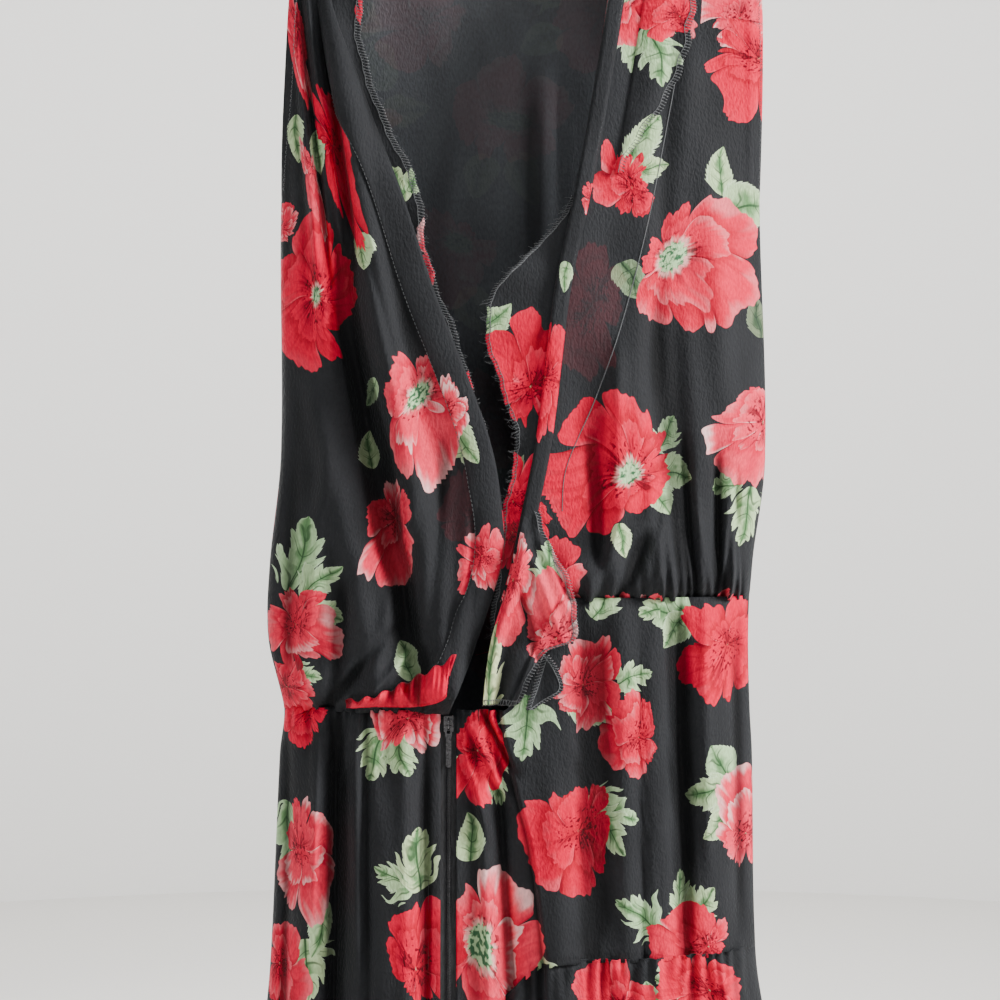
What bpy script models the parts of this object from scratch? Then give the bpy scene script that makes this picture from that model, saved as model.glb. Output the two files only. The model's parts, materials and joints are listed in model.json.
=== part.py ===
"""A sleeveless chiffon maxi dress hanging on a plain hanger, opening towards -Y.

Metres, +Z up. The origin is the seat of the hanger's hook, where a rail would carry it.
+X is the right-hand side of the face that is seen, and that face looks along -Y.
The dress hangs a little askew: its left waist sits lower than its right waist.
"""

import math
from collections import namedtuple

import bmesh
import bpy
from mathutils import Vector

# ---------------------------------------------------------------- driving dimensions
WALL = 0.0012              # thickness that stands for one layer of chiffon
SEAM_GAP = 0.0004          # clear space between two cloth pieces at a seam
TIER_GAP = 0.0014          # the same at the gathered tier seam, whose edges are uneven
LAY_ON = 0.0024            # middle to middle of two layers that lie on each other

SHOULDER_PEAK_Z = -0.068   # where the two shoulder slopes would meet, on the hanger's neck
SHOULDER_SLOPE = 0.24      # fall of the shoulder line for each metre out
SHOULDER_ROUND = 0.055     # height over which a shoulder rounds from its seam to full depth
SHOULDER_END_X = 0.150     # about where both shoulders end
UNDERARM_Z = -0.255
ARMHOLE_GAPE = 0.021       # how far each armhole edge stands off the side plane
FAR_NECK_Z = -0.118        # lowest point of the high neckline on the far side

WAIST_LEFT_Z = -0.580
WAIST_RIGHT_Z = -0.510
TIER_LEFT_Z = -0.800
TIER_RIGHT_Z = -0.732
HEM_LEFT_Z = -1.575
HEM_RIGHT_Z = -1.515

ZIP_LEFT_X = -0.0462       # edge of the left skirt panel along the zip
ZIP_RIGHT_X = -0.0364      # edge of the right skirt panel along the zip
ZIP_MIDDLE_X = (ZIP_LEFT_X + ZIP_RIGHT_X) / 2
ZIP_LENGTH = 0.205

TAPE_EDGE = 0.0008         # a tape's inner edge from the middle of the zip
TAPE_WIDTH = 0.0117
TAPE_THICK = 0.0008
TAPE_BEHIND = 0.0034       # middle of a tape behind the middle of the skirt's cloth
SLIDER_Z = -0.5872
SLIDER_WIDTH = 0.0066
SLIDER_DEPTH = 0.0034
SLIDER_HEIGHT = 0.0110
BAIL_REACH = 0.0032        # the bridge that carries the pull: out from the slider's front
BAIL_LEG = 0.0034          # and up or down from its middle
BAIL_WIRE = 0.0005
PULL_HINGE_OUT = 0.0015    # the pull's cross-bar, out from the slider's front
PULL_HINGE_Z = -0.0016
PULL_THICK = 0.0008
PULL_BAR = 0.0009          # height of the cross-bar under the bridge
PULL_HOLE = (0.0022, 0.0040)
PULL_EYE_WIDTH = 0.0042
PULL_TAB_WIDTH = 0.0034
PULL_LENGTH = 0.0260

V_HEM = 0.019              # width of the hem turned along each edge of the V

HOOK_WIRE = 0.0019         # radius of the hook's wire
HOOK_RADIUS = 0.020
HANGER_HALF = 0.190        # reach of each arm
HANGER_ARM = 0.0042        # radius of an arm
HANGER_DROP = 0.0078       # middle of an arm below the shoulder seam
SOCKET_HEIGHT = 0.014

FACING_TURN = 0.012        # how far a facing reaches behind the panel it is sewn to
TURNBACK_TOP_Z = -0.132    # the right facing's upper end, curled over onto the outside
TURNBACK_FOOT_Z = -0.245
TURNBACK_WIDTH = 0.030
NARROW_END = 0.003         # the turnback's width at its foot
FLAP_TOP_Z = -0.455        # the loose flap at the waist
FLAP_FOOT_Z = -0.574
FLAP_EDGE_GAP = 0.0015
FLAP_OFF_CLOTH = 0.0045
FLAP_LIFT = 0.006          # how far the flap stands off the cloth under it
RUFFLE_LEFT = (-0.103, -0.572)   # x and z of the ruffle's left end
RUFFLE_RUN = (0.066, 0.030)      # how far it runs across, and rises
RUFFLE_WIDTH = 0.017
RUFFLE_OFF_CLOTH = 0.0060
RUFFLE_WAVE = 0.0018

# The outline, from the shoulders to the hem: side edges, and how deep each side stands.
Level = namedtuple("Level", "z left right near far")
OUTLINE = [
    Level(-0.090, -0.1420, 0.1570, 0.030, 0.026),
    Level(-0.138, -0.1438, 0.1569, 0.034, 0.030),
    Level(-0.262, -0.1500, 0.1575, 0.042, 0.036),
    Level(-0.417, -0.1500, 0.1610, 0.045, 0.038),
    Level(-0.492, -0.1575, 0.1520, 0.044, 0.036),
    Level(-0.535, -0.1580, 0.1500, 0.043, 0.034),
    Level(-0.580, -0.1480, 0.1510, 0.042, 0.034),
    Level(-0.610, -0.1507, 0.1525, 0.044, 0.038),
    Level(-0.740, -0.1565, 0.1550, 0.054, 0.048),
    Level(-0.800, -0.1620, 0.1640, 0.058, 0.052),
    Level(-1.150, -0.1950, 0.2000, 0.074, 0.066),
    Level(-1.600, -0.2300, 0.2350, 0.088, 0.080),
]

# The two edges of the V, which cross just above the waist.
Edge = namedtuple("Edge", "z left right")
V_EDGES = [
    Edge(-0.090, -0.1180, 0.0660),
    Edge(-0.138, -0.1135, 0.0589),
    Edge(-0.200, -0.0925, 0.0490),
    Edge(-0.262, -0.0700, 0.0375),
    Edge(-0.324, -0.0500, 0.0245),
    Edge(-0.417, -0.0155, 0.0124),
    Edge(-0.470, -0.0068, 0.0012),
    Edge(-0.492, -0.0085, -0.0035),
    Edge(-0.535, -0.0230, -0.0165),
    Edge(-0.582, -0.0420, -0.0225),
]

# Folds: each runs from its top point to its foot; height is how far it stands out, - for a trough.
Fold = namedtuple("Fold", "top_x top_z foot_x foot_z width height")
BODICE_FOLDS = [
    Fold(-0.138, -0.110, -0.113, -0.400, 0.0065, 0.0060),
    Fold(-0.131, -0.110, -0.088, -0.440, 0.0060, -0.0060),
    Fold(-0.123, -0.100, -0.060, -0.470, 0.0080, 0.0080),
    Fold(-0.100, -0.330, -0.062, -0.560, 0.0130, -0.0090),
    Fold(-0.086, -0.470, -0.028, -0.600, 0.0140, 0.0070),
    Fold(0.110, -0.100, 0.062, -0.520, 0.0160, 0.0050),
    Fold(0.085, -0.300, 0.105, -0.530, 0.0100, -0.0050),
    Fold(0.132, -0.380, 0.126, -0.530, 0.0090, -0.0045),
]
SKIRT_FOLDS = [
    Fold(-0.130, -0.590, -0.136, -0.840, 0.0110, 0.0060),
    Fold(-0.110, -0.560, -0.113, -0.840, 0.0070, -0.0110),
    Fold(-0.080, -0.600, -0.077, -0.900, 0.0190, 0.0110),
    Fold(0.052, -0.490, 0.050, -0.760, 0.0100, -0.0050),
    Fold(0.078, -0.490, 0.084, -0.760, 0.0100, 0.0060),
    Fold(0.100, -0.490, 0.108, -0.760, 0.0080, -0.0055),
    Fold(0.128, -0.500, 0.132, -0.760, 0.0110, 0.0045),
]
FAR_FOLDS = [
    Fold(-0.090, -0.560, -0.100, -0.900, 0.0150, -0.0080),
    Fold(-0.040, -0.500, -0.046, -0.900, 0.0140, 0.0080),
    Fold(0.010, -0.480, 0.012, -0.900, 0.0160, -0.0080),
    Fold(0.060, -0.470, 0.066, -0.900, 0.0140, 0.0070),
    Fold(0.110, -0.460, 0.118, -0.900, 0.0140, -0.0070),
]
# Gathers of the long lower tier: place across its width, 0 left to 1 right, and height.
Gather = namedtuple("Gather", "across width height")
NEAR_GATHERS = [
    Gather(0.08, 0.030, 0.012), Gather(0.16, 0.024, -0.014), Gather(0.25, 0.034, 0.016),
    Gather(0.34, 0.022, -0.015), Gather(0.43, 0.036, 0.013), Gather(0.52, 0.024, -0.016),
    Gather(0.61, 0.030, 0.017), Gather(0.69, 0.022, -0.013), Gather(0.78, 0.034, 0.014),
    Gather(0.86, 0.022, -0.013), Gather(0.93, 0.026, 0.010),
]
FAR_GATHERS = [
    Gather(0.10, 0.032, -0.012), Gather(0.20, 0.030, 0.015), Gather(0.31, 0.034, -0.014),
    Gather(0.43, 0.030, 0.016), Gather(0.55, 0.036, -0.015), Gather(0.67, 0.030, 0.014),
    Gather(0.79, 0.034, -0.014), Gather(0.90, 0.028, 0.011),
]
# The edge of the right skirt panel where it laps forward over the cloth beside the zip.
LAP_X = ((-0.500, -0.0100), (-0.581, -0.0093), (-0.628, 0.0000), (-0.665, 0.0093),
         (-0.758, 0.0205), (-0.820, 0.0240))
LAP_STEP = 0.009           # how far that panel stands in front

# How far each inner facing reaches past its V edge.
Reach = namedtuple("Reach", "z left right")
FACING_REACH = [
    Reach(-0.112, 0.0260, 0.0000), Reach(-0.156, 0.0120, 0.0000),
    Reach(-0.200, 0.0080, 0.0000), Reach(-0.255, 0.0130, 0.0015),
    Reach(-0.285, 0.0060, 0.0150), Reach(-0.315, 0.0045, 0.0380),
    Reach(-0.343, 0.0060, 0.0400), Reach(-0.372, 0.0030, 0.0290),
    Reach(-0.411, 0.0010, 0.0130), Reach(-0.450, 0.0010, 0.0120),
    Reach(-0.500, 0.0010, 0.0070), Reach(-0.540, 0.0010, 0.0060),
]
# Right edge of the loose flap, which narrows to a point at its foot.
FLAP_RIGHT = (
    (-0.455, 0.0350), (-0.500, 0.0370), (-0.534, 0.0365), (-0.541, 0.0200), (-0.560, 0.0090),
    (-0.574, 0.0020),
)

# ---------------------------------------------------------------- curves through tables


def smooth(edge0, edge1, value):
    """0 before edge0, 1 after edge1, with an easy start and finish."""
    t = min(max((value - edge0) / (edge1 - edge0), 0.0), 1.0)
    return t * t * (3 - 2 * t)


def along(rows, z, column):
    """A table's column at height z, on a smooth curve through its rows, which run down."""
    if z >= rows[0][0]:
        return rows[0][column]
    if z <= rows[-1][0]:
        return rows[-1][column]
    i = max(k for k in range(len(rows) - 1) if rows[k][0] >= z)
    z0, z1 = rows[i][0], rows[i + 1][0]
    a, b = rows[i][column], rows[i + 1][column]
    before = rows[i - 1] if i else rows[i]
    after = rows[i + 2] if i + 2 < len(rows) else rows[i + 1]
    span = z1 - z0
    slope_a = (b - before[column]) / (z1 - before[0]) * span
    slope_b = (after[column] - a) / (after[0] - z0) * span
    t = (z - z0) / span
    return ((2 * t**3 - 3 * t**2 + 1) * a + (t**3 - 2 * t**2 + t) * slope_a
            + (3 * t**2 - 2 * t**3) * b + (t**3 - t**2) * slope_b)


def shoulder_z(x):
    """Height of the shoulder seams, which follow the hanger's arms."""
    return SHOULDER_PEAK_Z - SHOULDER_SLOPE * abs(x)


def waist_near_z(x):
    """The near waist seam: low on the left, stepping up past the V to the right."""
    return WAIST_LEFT_Z + (WAIST_RIGHT_Z - WAIST_LEFT_Z) * smooth(-0.008, 0.036, x)


def waist_far_z(x):
    """The far waist seam, an even slant from the left side seam to the right."""
    left, right = along(OUTLINE, WAIST_LEFT_Z, 1), along(OUTLINE, WAIST_LEFT_Z, 2)
    t = (x - left) / (right - left)
    return WAIST_LEFT_Z + (WAIST_RIGHT_Z - WAIST_LEFT_Z) * min(max(t, 0.0), 1.0)


def tier_near_z(x):
    """The seam between the skirt and its lower tier on the near side."""
    return TIER_LEFT_Z + (TIER_RIGHT_Z - TIER_LEFT_Z) * smooth(-0.060, 0.030, x)


def tier_far_z(x):
    """The same seam on the far side."""
    return TIER_LEFT_Z + (TIER_RIGHT_Z - TIER_LEFT_Z) * smooth(-0.170, 0.170, x)


def hem_z(x):
    """The bottom edge of the dress."""
    return HEM_LEFT_Z + (HEM_RIGHT_Z - HEM_LEFT_Z) * smooth(-0.230, 0.230, x)


# ---------------------------------------------------------------- the hanging form


def fold_height(folds, x, z):
    """Sum of the folds at a point: each is a soft ridge or trough that fades at its ends."""
    total = 0.0
    for fold in folds:
        t = (z - fold.top_z) / (fold.foot_z - fold.top_z)
        if 0.0 < t < 1.0:
            middle = fold.top_x + (fold.foot_x - fold.top_x) * t
            fade = smooth(0.0, 0.25, t) * smooth(1.0, 0.75, t)
            total += fold.height * fade * math.exp(-(((x - middle) / fold.width) ** 2))
    return total


def gather_height(gathers, across, depth):
    """Sum of the lower tier's gathers, deeper towards the hem."""
    total = sum(g.height * math.exp(-(((across - g.across) / g.width) ** 2)) for g in gathers)
    return total * (0.35 + 0.85 * depth)


def side_share(x, z):
    """Place between the side edges, from -1 at the left to 1 at the right."""
    left, right = along(OUTLINE, z, 1), along(OUTLINE, z, 2)
    return (x - (left + right) / 2) / ((right - left) / 2)


def arch(share):
    """Cross-section of the hanging dress: flat in the middle and round at the sides."""
    return max(1.0 - min(abs(share), 1.0) ** 2.4, 0.0) ** 0.55


def gape(z):
    """How far the armhole edge stands off the side plane at height z."""
    down = (shoulder_z(SHOULDER_END_X) - z) / (shoulder_z(SHOULDER_END_X) - UNDERARM_Z)
    if down >= 1.0:
        return 0.0
    return ARMHOLE_GAPE * math.sin(math.pi * (0.25 + 0.75 * max(down, 0.0))) ** 0.8


def shoulder_rise(x, z):
    """0 at the shoulder seam, 1 below the rounding over the hanger's arm."""
    drop = min(max((shoulder_z(x) - z) / SHOULDER_ROUND, 0.0), 1.0)
    return math.sqrt(max(1.0 - (1.0 - drop) ** 2, 0.0))


def skirt_lap(x, z):
    """The step forward of the right skirt panel along its lapped edge."""
    edge = along(LAP_X, z, 1)
    return LAP_STEP * smooth(edge - 0.0015, edge + 0.0025, x) - LAP_STEP * 0.6


def near_y(x, z):
    """The near side above the tier seam, as a depth towards -Y."""
    share = side_share(x, z)
    stand = gape(z) + (along(OUTLINE, z, 3) - gape(z)) * arch(share)
    calm = 1.0 - smooth(0.80, 1.0, abs(share))
    if z > waist_near_z(x):
        stand += fold_height(BODICE_FOLDS, x, z) * calm
    else:
        stand += fold_height(SKIRT_FOLDS, x, z) * calm
        stand += skirt_lap(x, z) * calm * smooth(ZIP_RIGHT_X - 0.03, ZIP_RIGHT_X + 0.02, x)
    return -(SEAM_GAP + stand * shoulder_rise(x, z))


def far_y(x, z):
    """The far side above the tier seam, as a depth towards +Y."""
    share = side_share(x, z)
    stand = gape(z) + (along(OUTLINE, z, 4) - gape(z)) * arch(share)
    calm = 1.0 - smooth(0.75, 1.0, abs(share))
    if z < waist_far_z(x):
        stand += fold_height(FAR_FOLDS, x, z) * calm
    return SEAM_GAP + stand * shoulder_rise(x, z)


def near_point(x, z):
    return Vector((x, near_y(x, z), z))


def far_point(x, z):
    return Vector((x, far_y(x, z), z))


# ---------------------------------------------------------------- makers of solids


def material(name, colour, roughness, metallic=0.0):
    """A plain finish, one Principled shader."""
    made = bpy.data.materials.get(name)
    if made is None:
        made = bpy.data.materials.new(name)
        made.use_nodes = True
        shader = made.node_tree.nodes["Principled BSDF"]
        shader.inputs["Base Color"].default_value = (*colour, 1.0)
        shader.inputs["Roughness"].default_value = roughness
        shader.inputs["Metallic"].default_value = metallic
        made.diffuse_color = (*colour, 1.0)
    return made


def chiffon():
    return material("floral_chiffon", (0.020, 0.021, 0.023), 0.85)


def zip_metal():
    return material("black_zip_metal", (0.020, 0.020, 0.022), 0.35, 0.8)


def place(name, mesh, finish, collection):
    """Adds a mesh to the dress as a named object."""
    mesh.materials.append(finish)
    piece = bpy.data.objects.new(name, mesh)
    collection.objects.link(piece)
    return piece


def moved_out(rows, distance):
    """The same grid of points moved along its own normals, + towards -Y where x falls along a row."""
    result = []
    for i, row in enumerate(rows):
        line = []
        for j, point in enumerate(row):
            down = rows[min(i + 1, len(rows) - 1)][j] - rows[max(i - 1, 0)][j]
            across = row[min(j + 1, len(row) - 1)] - row[max(j - 1, 0)]
            normal = across.cross(down)
            normal.normalize()
            line.append(point + normal * distance)
        result.append(line)
    return result


def cloth(name, rows, collection, thickness=WALL):
    """A closed wall of cloth through a grid of points, given row by row from the top."""
    mesh = bpy.data.meshes.new(name)
    sheet = bmesh.new()
    count = len(rows[0])
    bmesh.ops.create_grid(sheet, x_segments=count - 1, y_segments=len(rows) - 1, size=1.0)
    sheet.verts.ensure_lookup_table()
    for vert, point in zip(sheet.verts, (point for row in rows for point in row)):
        vert.co = point
    sheet.to_mesh(mesh)
    sheet.free()
    mesh.shade_smooth()
    piece = place(name, mesh, chiffon(), collection)
    wall = piece.modifiers.new("wall", "SOLIDIFY")
    wall.thickness = thickness
    wall.offset = 0.0
    return piece


def spread(start, end, count):
    """Evenly spaced values from start to end, both included."""
    return [start + (end - start) * k / (count - 1) for k in range(count)]


def angled(start, end, count):
    """Shares from -1 to 1 between two side shares, closer together at the round sides."""
    low, high = math.asin(start), math.asin(end)
    return [math.sin(angle) for angle in spread(low, high, count)]


def across_at(share, z):
    """X at a share of the width."""
    left, right = along(OUTLINE, z, 1), along(OUTLINE, z, 2)
    return (left + right) / 2 + share * (right - left) / 2


def crossing(column, line):
    """Height at which a column of the cloth meets a seam line."""
    z = line(0.0)
    for _ in range(6):
        z = line(column(z))
    return z


def rows_between(columns, top, bottom, point, count):
    """Rows of a panel between two seam lines. Each column gives x at a height."""
    ends = [(crossing(column, top) - SEAM_GAP, crossing(column, bottom) + SEAM_GAP)
            for column in columns]
    rows = []
    for t in spread(0.0, 1.0, count):
        heights = [start + (end - start) * t for start, end in ends]
        rows.append([point(column(z), z) for column, z in zip(columns, heights)])
    return rows


def at_share(share):
    """A column that keeps its share of the dress's width."""
    return lambda z: across_at(share, z)


# ---------------------------------------------------------------- bodice


def panel_rows(side, heights, columns):
    """Rows of a near bodice panel, from its shoulder seam down to the waist seam.

    side is the column of OUTLINE and V_EDGES that it lies between: 1 left, 2 right.
    The first three columns keep a hem's width from the V edge, so that the hem lies on them.
    """
    inward = -1 if side == 1 else 1
    rows = []
    for height in heights:
        v_edge = along(V_EDGES, height, side)
        side_edge = along(OUTLINE, height, side)
        hem = min(V_HEM, abs(side_edge - v_edge) * 0.34)
        span = (height - heights[-1]) / (heights[0] - heights[-1])
        row = []
        for k in range(columns):
            if k < 3:
                x = v_edge + inward * hem * k / 2
            else:
                start = v_edge + inward * hem
                turn = math.sin(math.pi / 2 * (k - 2) / (columns - 3))
                x = start + (side_edge - start) * turn
            top = shoulder_z(x) - SEAM_GAP
            foot = waist_near_z(x) if side == 1 else WAIST_RIGHT_Z
            row.append(near_point(x, foot + SEAM_GAP + (top - foot - SEAM_GAP) * span))
        rows.append(row)
    return rows


def falling(top, bottom, count, ease=1.15):
    """Heights from top to bottom, closer together at the top."""
    return [top + (bottom - top) * (k / (count - 1)) ** ease for k in range(count)]


def far_top_z(x):
    """Top edge of the far bodice: the shoulder seams, and a high neckline between them."""
    neck = smooth(-0.116, -0.090, x) * smooth(0.075, 0.045, x)
    return shoulder_z(x) + (FAR_NECK_Z - shoulder_z(x)) * neck


def facing_rows(side, heights):
    """Rows of the facing inside a V edge: a strip that shows past the edge by its reach."""
    inward = -1 if side == 1 else 1
    rows = []
    for z in heights:
        v_edge = along(V_EDGES, z, side)
        reach = along(FACING_REACH, z, side)
        start = v_edge + inward * FACING_TURN
        end = v_edge - inward * reach
        row = []
        for x in spread(start, end, 5):
            row.append(near_point(x, z) + Vector((0.0, LAY_ON * 1.5, 0.0)))
        rows.append(row)
    return rows


def build_bodice(collection):
    left = panel_rows(1, falling(-0.092, WAIST_LEFT_Z, 20), 12)
    right = panel_rows(2, falling(-0.092, WAIST_RIGHT_Z, 18), 12)
    cloth("bodice_near_left", left, collection)
    cloth("bodice_near_right", right, collection)
    shares = [at_share(share) for share in angled(-1.0, 1.0, 19)]
    far = rows_between(shares, far_top_z, waist_far_z, far_point, 15)
    cloth("bodice_far", far, collection)
    hem_left = moved_out([row[:3] for row in left], LAY_ON)
    hem_right = moved_out([row[:3] for row in right], -LAY_ON)
    cloth("v_hem_left", hem_left[1:-1], collection)
    cloth("v_hem_right", hem_right[1:-1], collection)
    cloth("facing_left", facing_rows(1, spread(-0.120, -0.405, 14)), collection)
    cloth("facing_right", facing_rows(2, spread(-0.258, -0.540, 18)), collection)


def build_turnback(collection):
    """The right facing's upper end, which curls over the V edge onto the outside."""
    rows = []
    for z in spread(TURNBACK_TOP_Z, TURNBACK_FOOT_Z, 8):
        v_edge = along(V_EDGES, z, 2) + V_HEM + 0.002
        width = TURNBACK_WIDTH * smooth(-0.255, -0.165, z) + NARROW_END
        rows.append([near_point(x, z) for x in spread(v_edge, v_edge + width, 4)])
    cloth("facing_turnback", moved_out(rows, -LAY_ON * 1.4), collection)


def build_waist_flap(collection):
    """The lower end of the right V hem and facing, a loose flap over the skirt's top."""
    rows = []
    for z in spread(FLAP_TOP_Z, FLAP_FOOT_Z, 20):
        left = along(V_EDGES, z, 2) + FLAP_EDGE_GAP
        right = along(FLAP_RIGHT, z, 1)
        row = []
        for k, x in enumerate(spread(left, right, 7)):
            lift = FLAP_LIFT * smooth(-0.440, -0.500, z) * (0.75 + 0.25 * math.cos(k * 1.4))
            floor = min(near_y(x, z), near_y(x + 0.004, z), near_y(x, z + 0.004))
            row.append(Vector((x, floor - lift - FLAP_OFF_CLOTH, z)))
        rows.append(row)
    cloth("waist_flap", rows, collection)


def build_waist_ruffle(collection):
    """The gathered seam edge that lies over the left waist, rising to the right."""
    rows = []
    for down in spread(0.0, 1.0, 4):
        row = []
        for k in range(19):
            t = k / 18
            x = RUFFLE_LEFT[0] + RUFFLE_RUN[0] * t
            top = RUFFLE_LEFT[1] + RUFFLE_RUN[1] * t**1.4
            z = top - RUFFLE_WIDTH * (0.55 + 0.45 * math.sin(math.pi * t)) * down
            floor = min(near_y(x, max(z, WAIST_LEFT_Z + 0.001)), near_y(x, WAIST_LEFT_Z - 0.002))
            wave = RUFFLE_WAVE * math.sin(k * 1.9) * (0.4 + down)
            row.append(Vector((x, floor - RUFFLE_OFF_CLOTH - 0.004 * down + wave, z)))
        rows.append(row)
    cloth("waist_ruffle", rows, collection)


# ---------------------------------------------------------------- skirt


def blend_to(x_of, share, t):
    """A column part of the way from a line on the skirt to a share of its width."""
    return lambda z: x_of(z) + (across_at(share, z) - x_of(z)) * t


def lap_column(offset):
    """A column that keeps its distance from the lapped edge of the right skirt panel."""
    return lambda z: along(LAP_X, z, 1) + offset


def build_skirt(collection):
    turns = [math.sin(math.pi / 2 * t) for t in spread(0.0, 1.0, 12)]
    left = [blend_to(lambda z: ZIP_LEFT_X, -1.0, turn) for turn in reversed(turns)]
    inner = [lambda z, t=t: ZIP_RIGHT_X + (lap_column(-0.003)(z) - ZIP_RIGHT_X) * t
             for t in spread(0.0, 1.0, 4)]
    outer = [blend_to(lap_column(0.004), 1.0, turn) for turn in turns]
    right = inner + [lap_column(-0.001), lap_column(0.0015)] + outer
    for name, columns in (("skirt_near_left", left), ("skirt_near_right", right)):
        cloth(name, rows_between(columns, waist_near_z, tier_near_z, near_point, 8), collection)
    shares = [at_share(share) for share in angled(-1.0, 1.0, 21)]
    cloth("skirt_far", rows_between(shares, waist_far_z, tier_far_z, far_point, 6), collection)


def tier_rows(side, gathers, seam, count, columns):
    """Rows of one side of the lower tier, from its gathered seam to the hem."""
    flat = near_y if side < 0 else far_y
    rows = [[] for _ in range(count)]
    for share in angled(-1.0, 1.0, columns):
        column = at_share(share)
        top = crossing(column, seam) - TIER_GAP
        foot = crossing(column, hem_z)
        calm = 1.0 - smooth(0.86, 1.0, abs(share))
        for row, t in zip(rows, spread(0.0, 1.0, count)):
            z = top + (foot - top) * t
            across = (share + 1) / 2 + 0.012 * math.sin(3.0 * t + 9.0 * share)
            full = along(OUTLINE, z, 3 if side < 0 else 4) * arch(share)
            full += gather_height(gathers, across, t) * calm
            at_seam = abs(flat(column(top), top)) - SEAM_GAP
            stand = at_seam + (full - at_seam) * smooth(0.0, 0.08, t)
            row.append(Vector((column(z), side * (SEAM_GAP + stand), z)))
    return rows


def build_tier(collection):
    near = tier_rows(-1, NEAR_GATHERS, tier_near_z, 9, 35)
    far = tier_rows(1, FAR_GATHERS, tier_far_z, 8, 29)
    cloth("tier_near", near, collection)
    cloth("tier_far", far, collection)


# ---------------------------------------------------------------- zip


def box(name, low, high, finish, collection, round_edge=0.0):
    """A rectangular block between two corners, with its edges rounded."""
    size = [b - a for a, b in zip(low, high)]
    middle = [(a + b) / 2 for a, b in zip(low, high)]
    mesh = bpy.data.meshes.new(name)
    block = bmesh.new()
    bmesh.ops.create_cube(block, size=1.0)
    bmesh.ops.scale(block, vec=size, verts=block.verts)
    block.to_mesh(mesh)
    block.free()
    piece = place(name, mesh, finish, collection)
    piece.location = middle
    if round_edge:
        bevel = piece.modifiers.new("rounding", "BEVEL")
        bevel.width = round_edge
        bevel.segments = 2
    return piece


def wire(name, points, radius, finish, collection, resolution=2):
    """A wire or rod: a smooth run of points with a round section and closed ends."""
    curve = bpy.data.curves.new(name, "CURVE")
    curve.dimensions = "3D"
    curve.bevel_depth = radius
    curve.bevel_resolution = resolution
    curve.use_fill_caps = True
    spline = curve.splines.new("POLY")
    spline.points.add(len(points) - 1)
    for target, point in zip(spline.points, points):
        target.co = (*point, 1.0)
    curve.materials.append(finish)
    piece = bpy.data.objects.new(name, curve)
    collection.objects.link(piece)
    return piece


def plate(name, outlines, thickness, finish, collection):
    """A flat plate from closed outlines of (x, z) points; a second outline is a hole."""
    curve = bpy.data.curves.new(name, "CURVE")
    curve.dimensions = "2D"
    curve.fill_mode = "BOTH"
    curve.extrude = thickness / 2
    for outline in outlines:
        spline = curve.splines.new("POLY")
        spline.points.add(len(outline) - 1)
        for target, (x, z) in zip(spline.points, outline):
            target.co = (x, z, 0.0, 1.0)
        spline.use_cyclic_u = True
    curve.materials.append(finish)
    piece = bpy.data.objects.new(name, curve)
    piece.rotation_euler = (math.pi / 2, 0.0, 0.0)
    collection.objects.link(piece)
    return piece


def build_zip(collection):
    top = WAIST_LEFT_Z - 0.004
    rows_down = spread(top, top - ZIP_LENGTH, 10)
    for name, side in (("zip_tape_left", -1), ("zip_tape_right", 1)):
        edges = sorted(ZIP_MIDDLE_X + side * x for x in (TAPE_EDGE, TAPE_EDGE + TAPE_WIDTH))
        rows = [[Vector((x, near_y(x, z) + TAPE_BEHIND, z)) for x in spread(*edges, 3)]
                for z in rows_down]
        cloth(name, rows, collection, thickness=TAPE_THICK)

    half = SLIDER_HEIGHT / 2
    back = min(near_y(ZIP_MIDDLE_X + x, SLIDER_Z + z) for x in (-0.004, 0.004) for z in (-half, half))
    back += TAPE_BEHIND - TAPE_THICK / 2 - 0.0004
    front = back - SLIDER_DEPTH
    box("zip_slider", (ZIP_MIDDLE_X - SLIDER_WIDTH / 2, front, SLIDER_Z - half),
        (ZIP_MIDDLE_X + SLIDER_WIDTH / 2, back, SLIDER_Z + half), zip_metal(), collection, 0.0009)

    reach, leg = BAIL_REACH, BAIL_LEG
    arch_points = [Vector((0.0, -0.0003, leg))]
    for turn in spread(90.0, -90.0, 11):
        angle = math.radians(turn)
        out = 0.4 * reach + 0.6 * reach * math.cos(angle)
        arch_points.append(Vector((0.0, -out, leg * math.sin(angle))))
    arch_points.append(Vector((0.0, -0.0003, -leg)))
    bail = wire("zip_bail", arch_points, BAIL_WIRE, zip_metal(), collection)
    bail.location = (ZIP_MIDDLE_X, front, SLIDER_Z)

    hinge = Vector((ZIP_MIDDLE_X, front - PULL_HINGE_OUT, SLIDER_Z + PULL_HINGE_Z))
    top, foot = PULL_BAR / 2, PULL_BAR / 2 - PULL_LENGTH
    eye_half, tab_half = PULL_EYE_WIDTH / 2, PULL_TAB_WIDTH / 2
    neck = -PULL_BAR / 2 - PULL_HOLE[1] - 0.0012
    outer = [(-eye_half + 0.0006, top), (eye_half - 0.0006, top), (eye_half, top - 0.0006),
             (eye_half, neck), (tab_half, neck - 0.0014)]
    for turn in spread(0.0, -180.0, 9):
        angle = math.radians(turn)
        outer.append((tab_half * math.cos(angle), foot + tab_half * (1 + math.sin(angle))))
    outer += [(-tab_half, neck - 0.0014), (-eye_half, neck), (-eye_half, top - 0.0006)]
    hole_half, hole_top = PULL_HOLE[0] / 2, -PULL_BAR / 2
    hole = [(-hole_half, hole_top), (hole_half, hole_top),
            (hole_half, hole_top - PULL_HOLE[1]), (-hole_half, hole_top - PULL_HOLE[1])]
    pull = plate("zip_pull", [outer, hole], PULL_THICK, zip_metal(), collection)
    pull.location = hinge


# ---------------------------------------------------------------- hanger


def hanger_z(x):
    """Middle line of the hanger's arms, under the shoulder seams."""
    return SHOULDER_PEAK_Z - HANGER_DROP - SHOULDER_SLOPE * math.hypot(x, 0.014)


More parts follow.
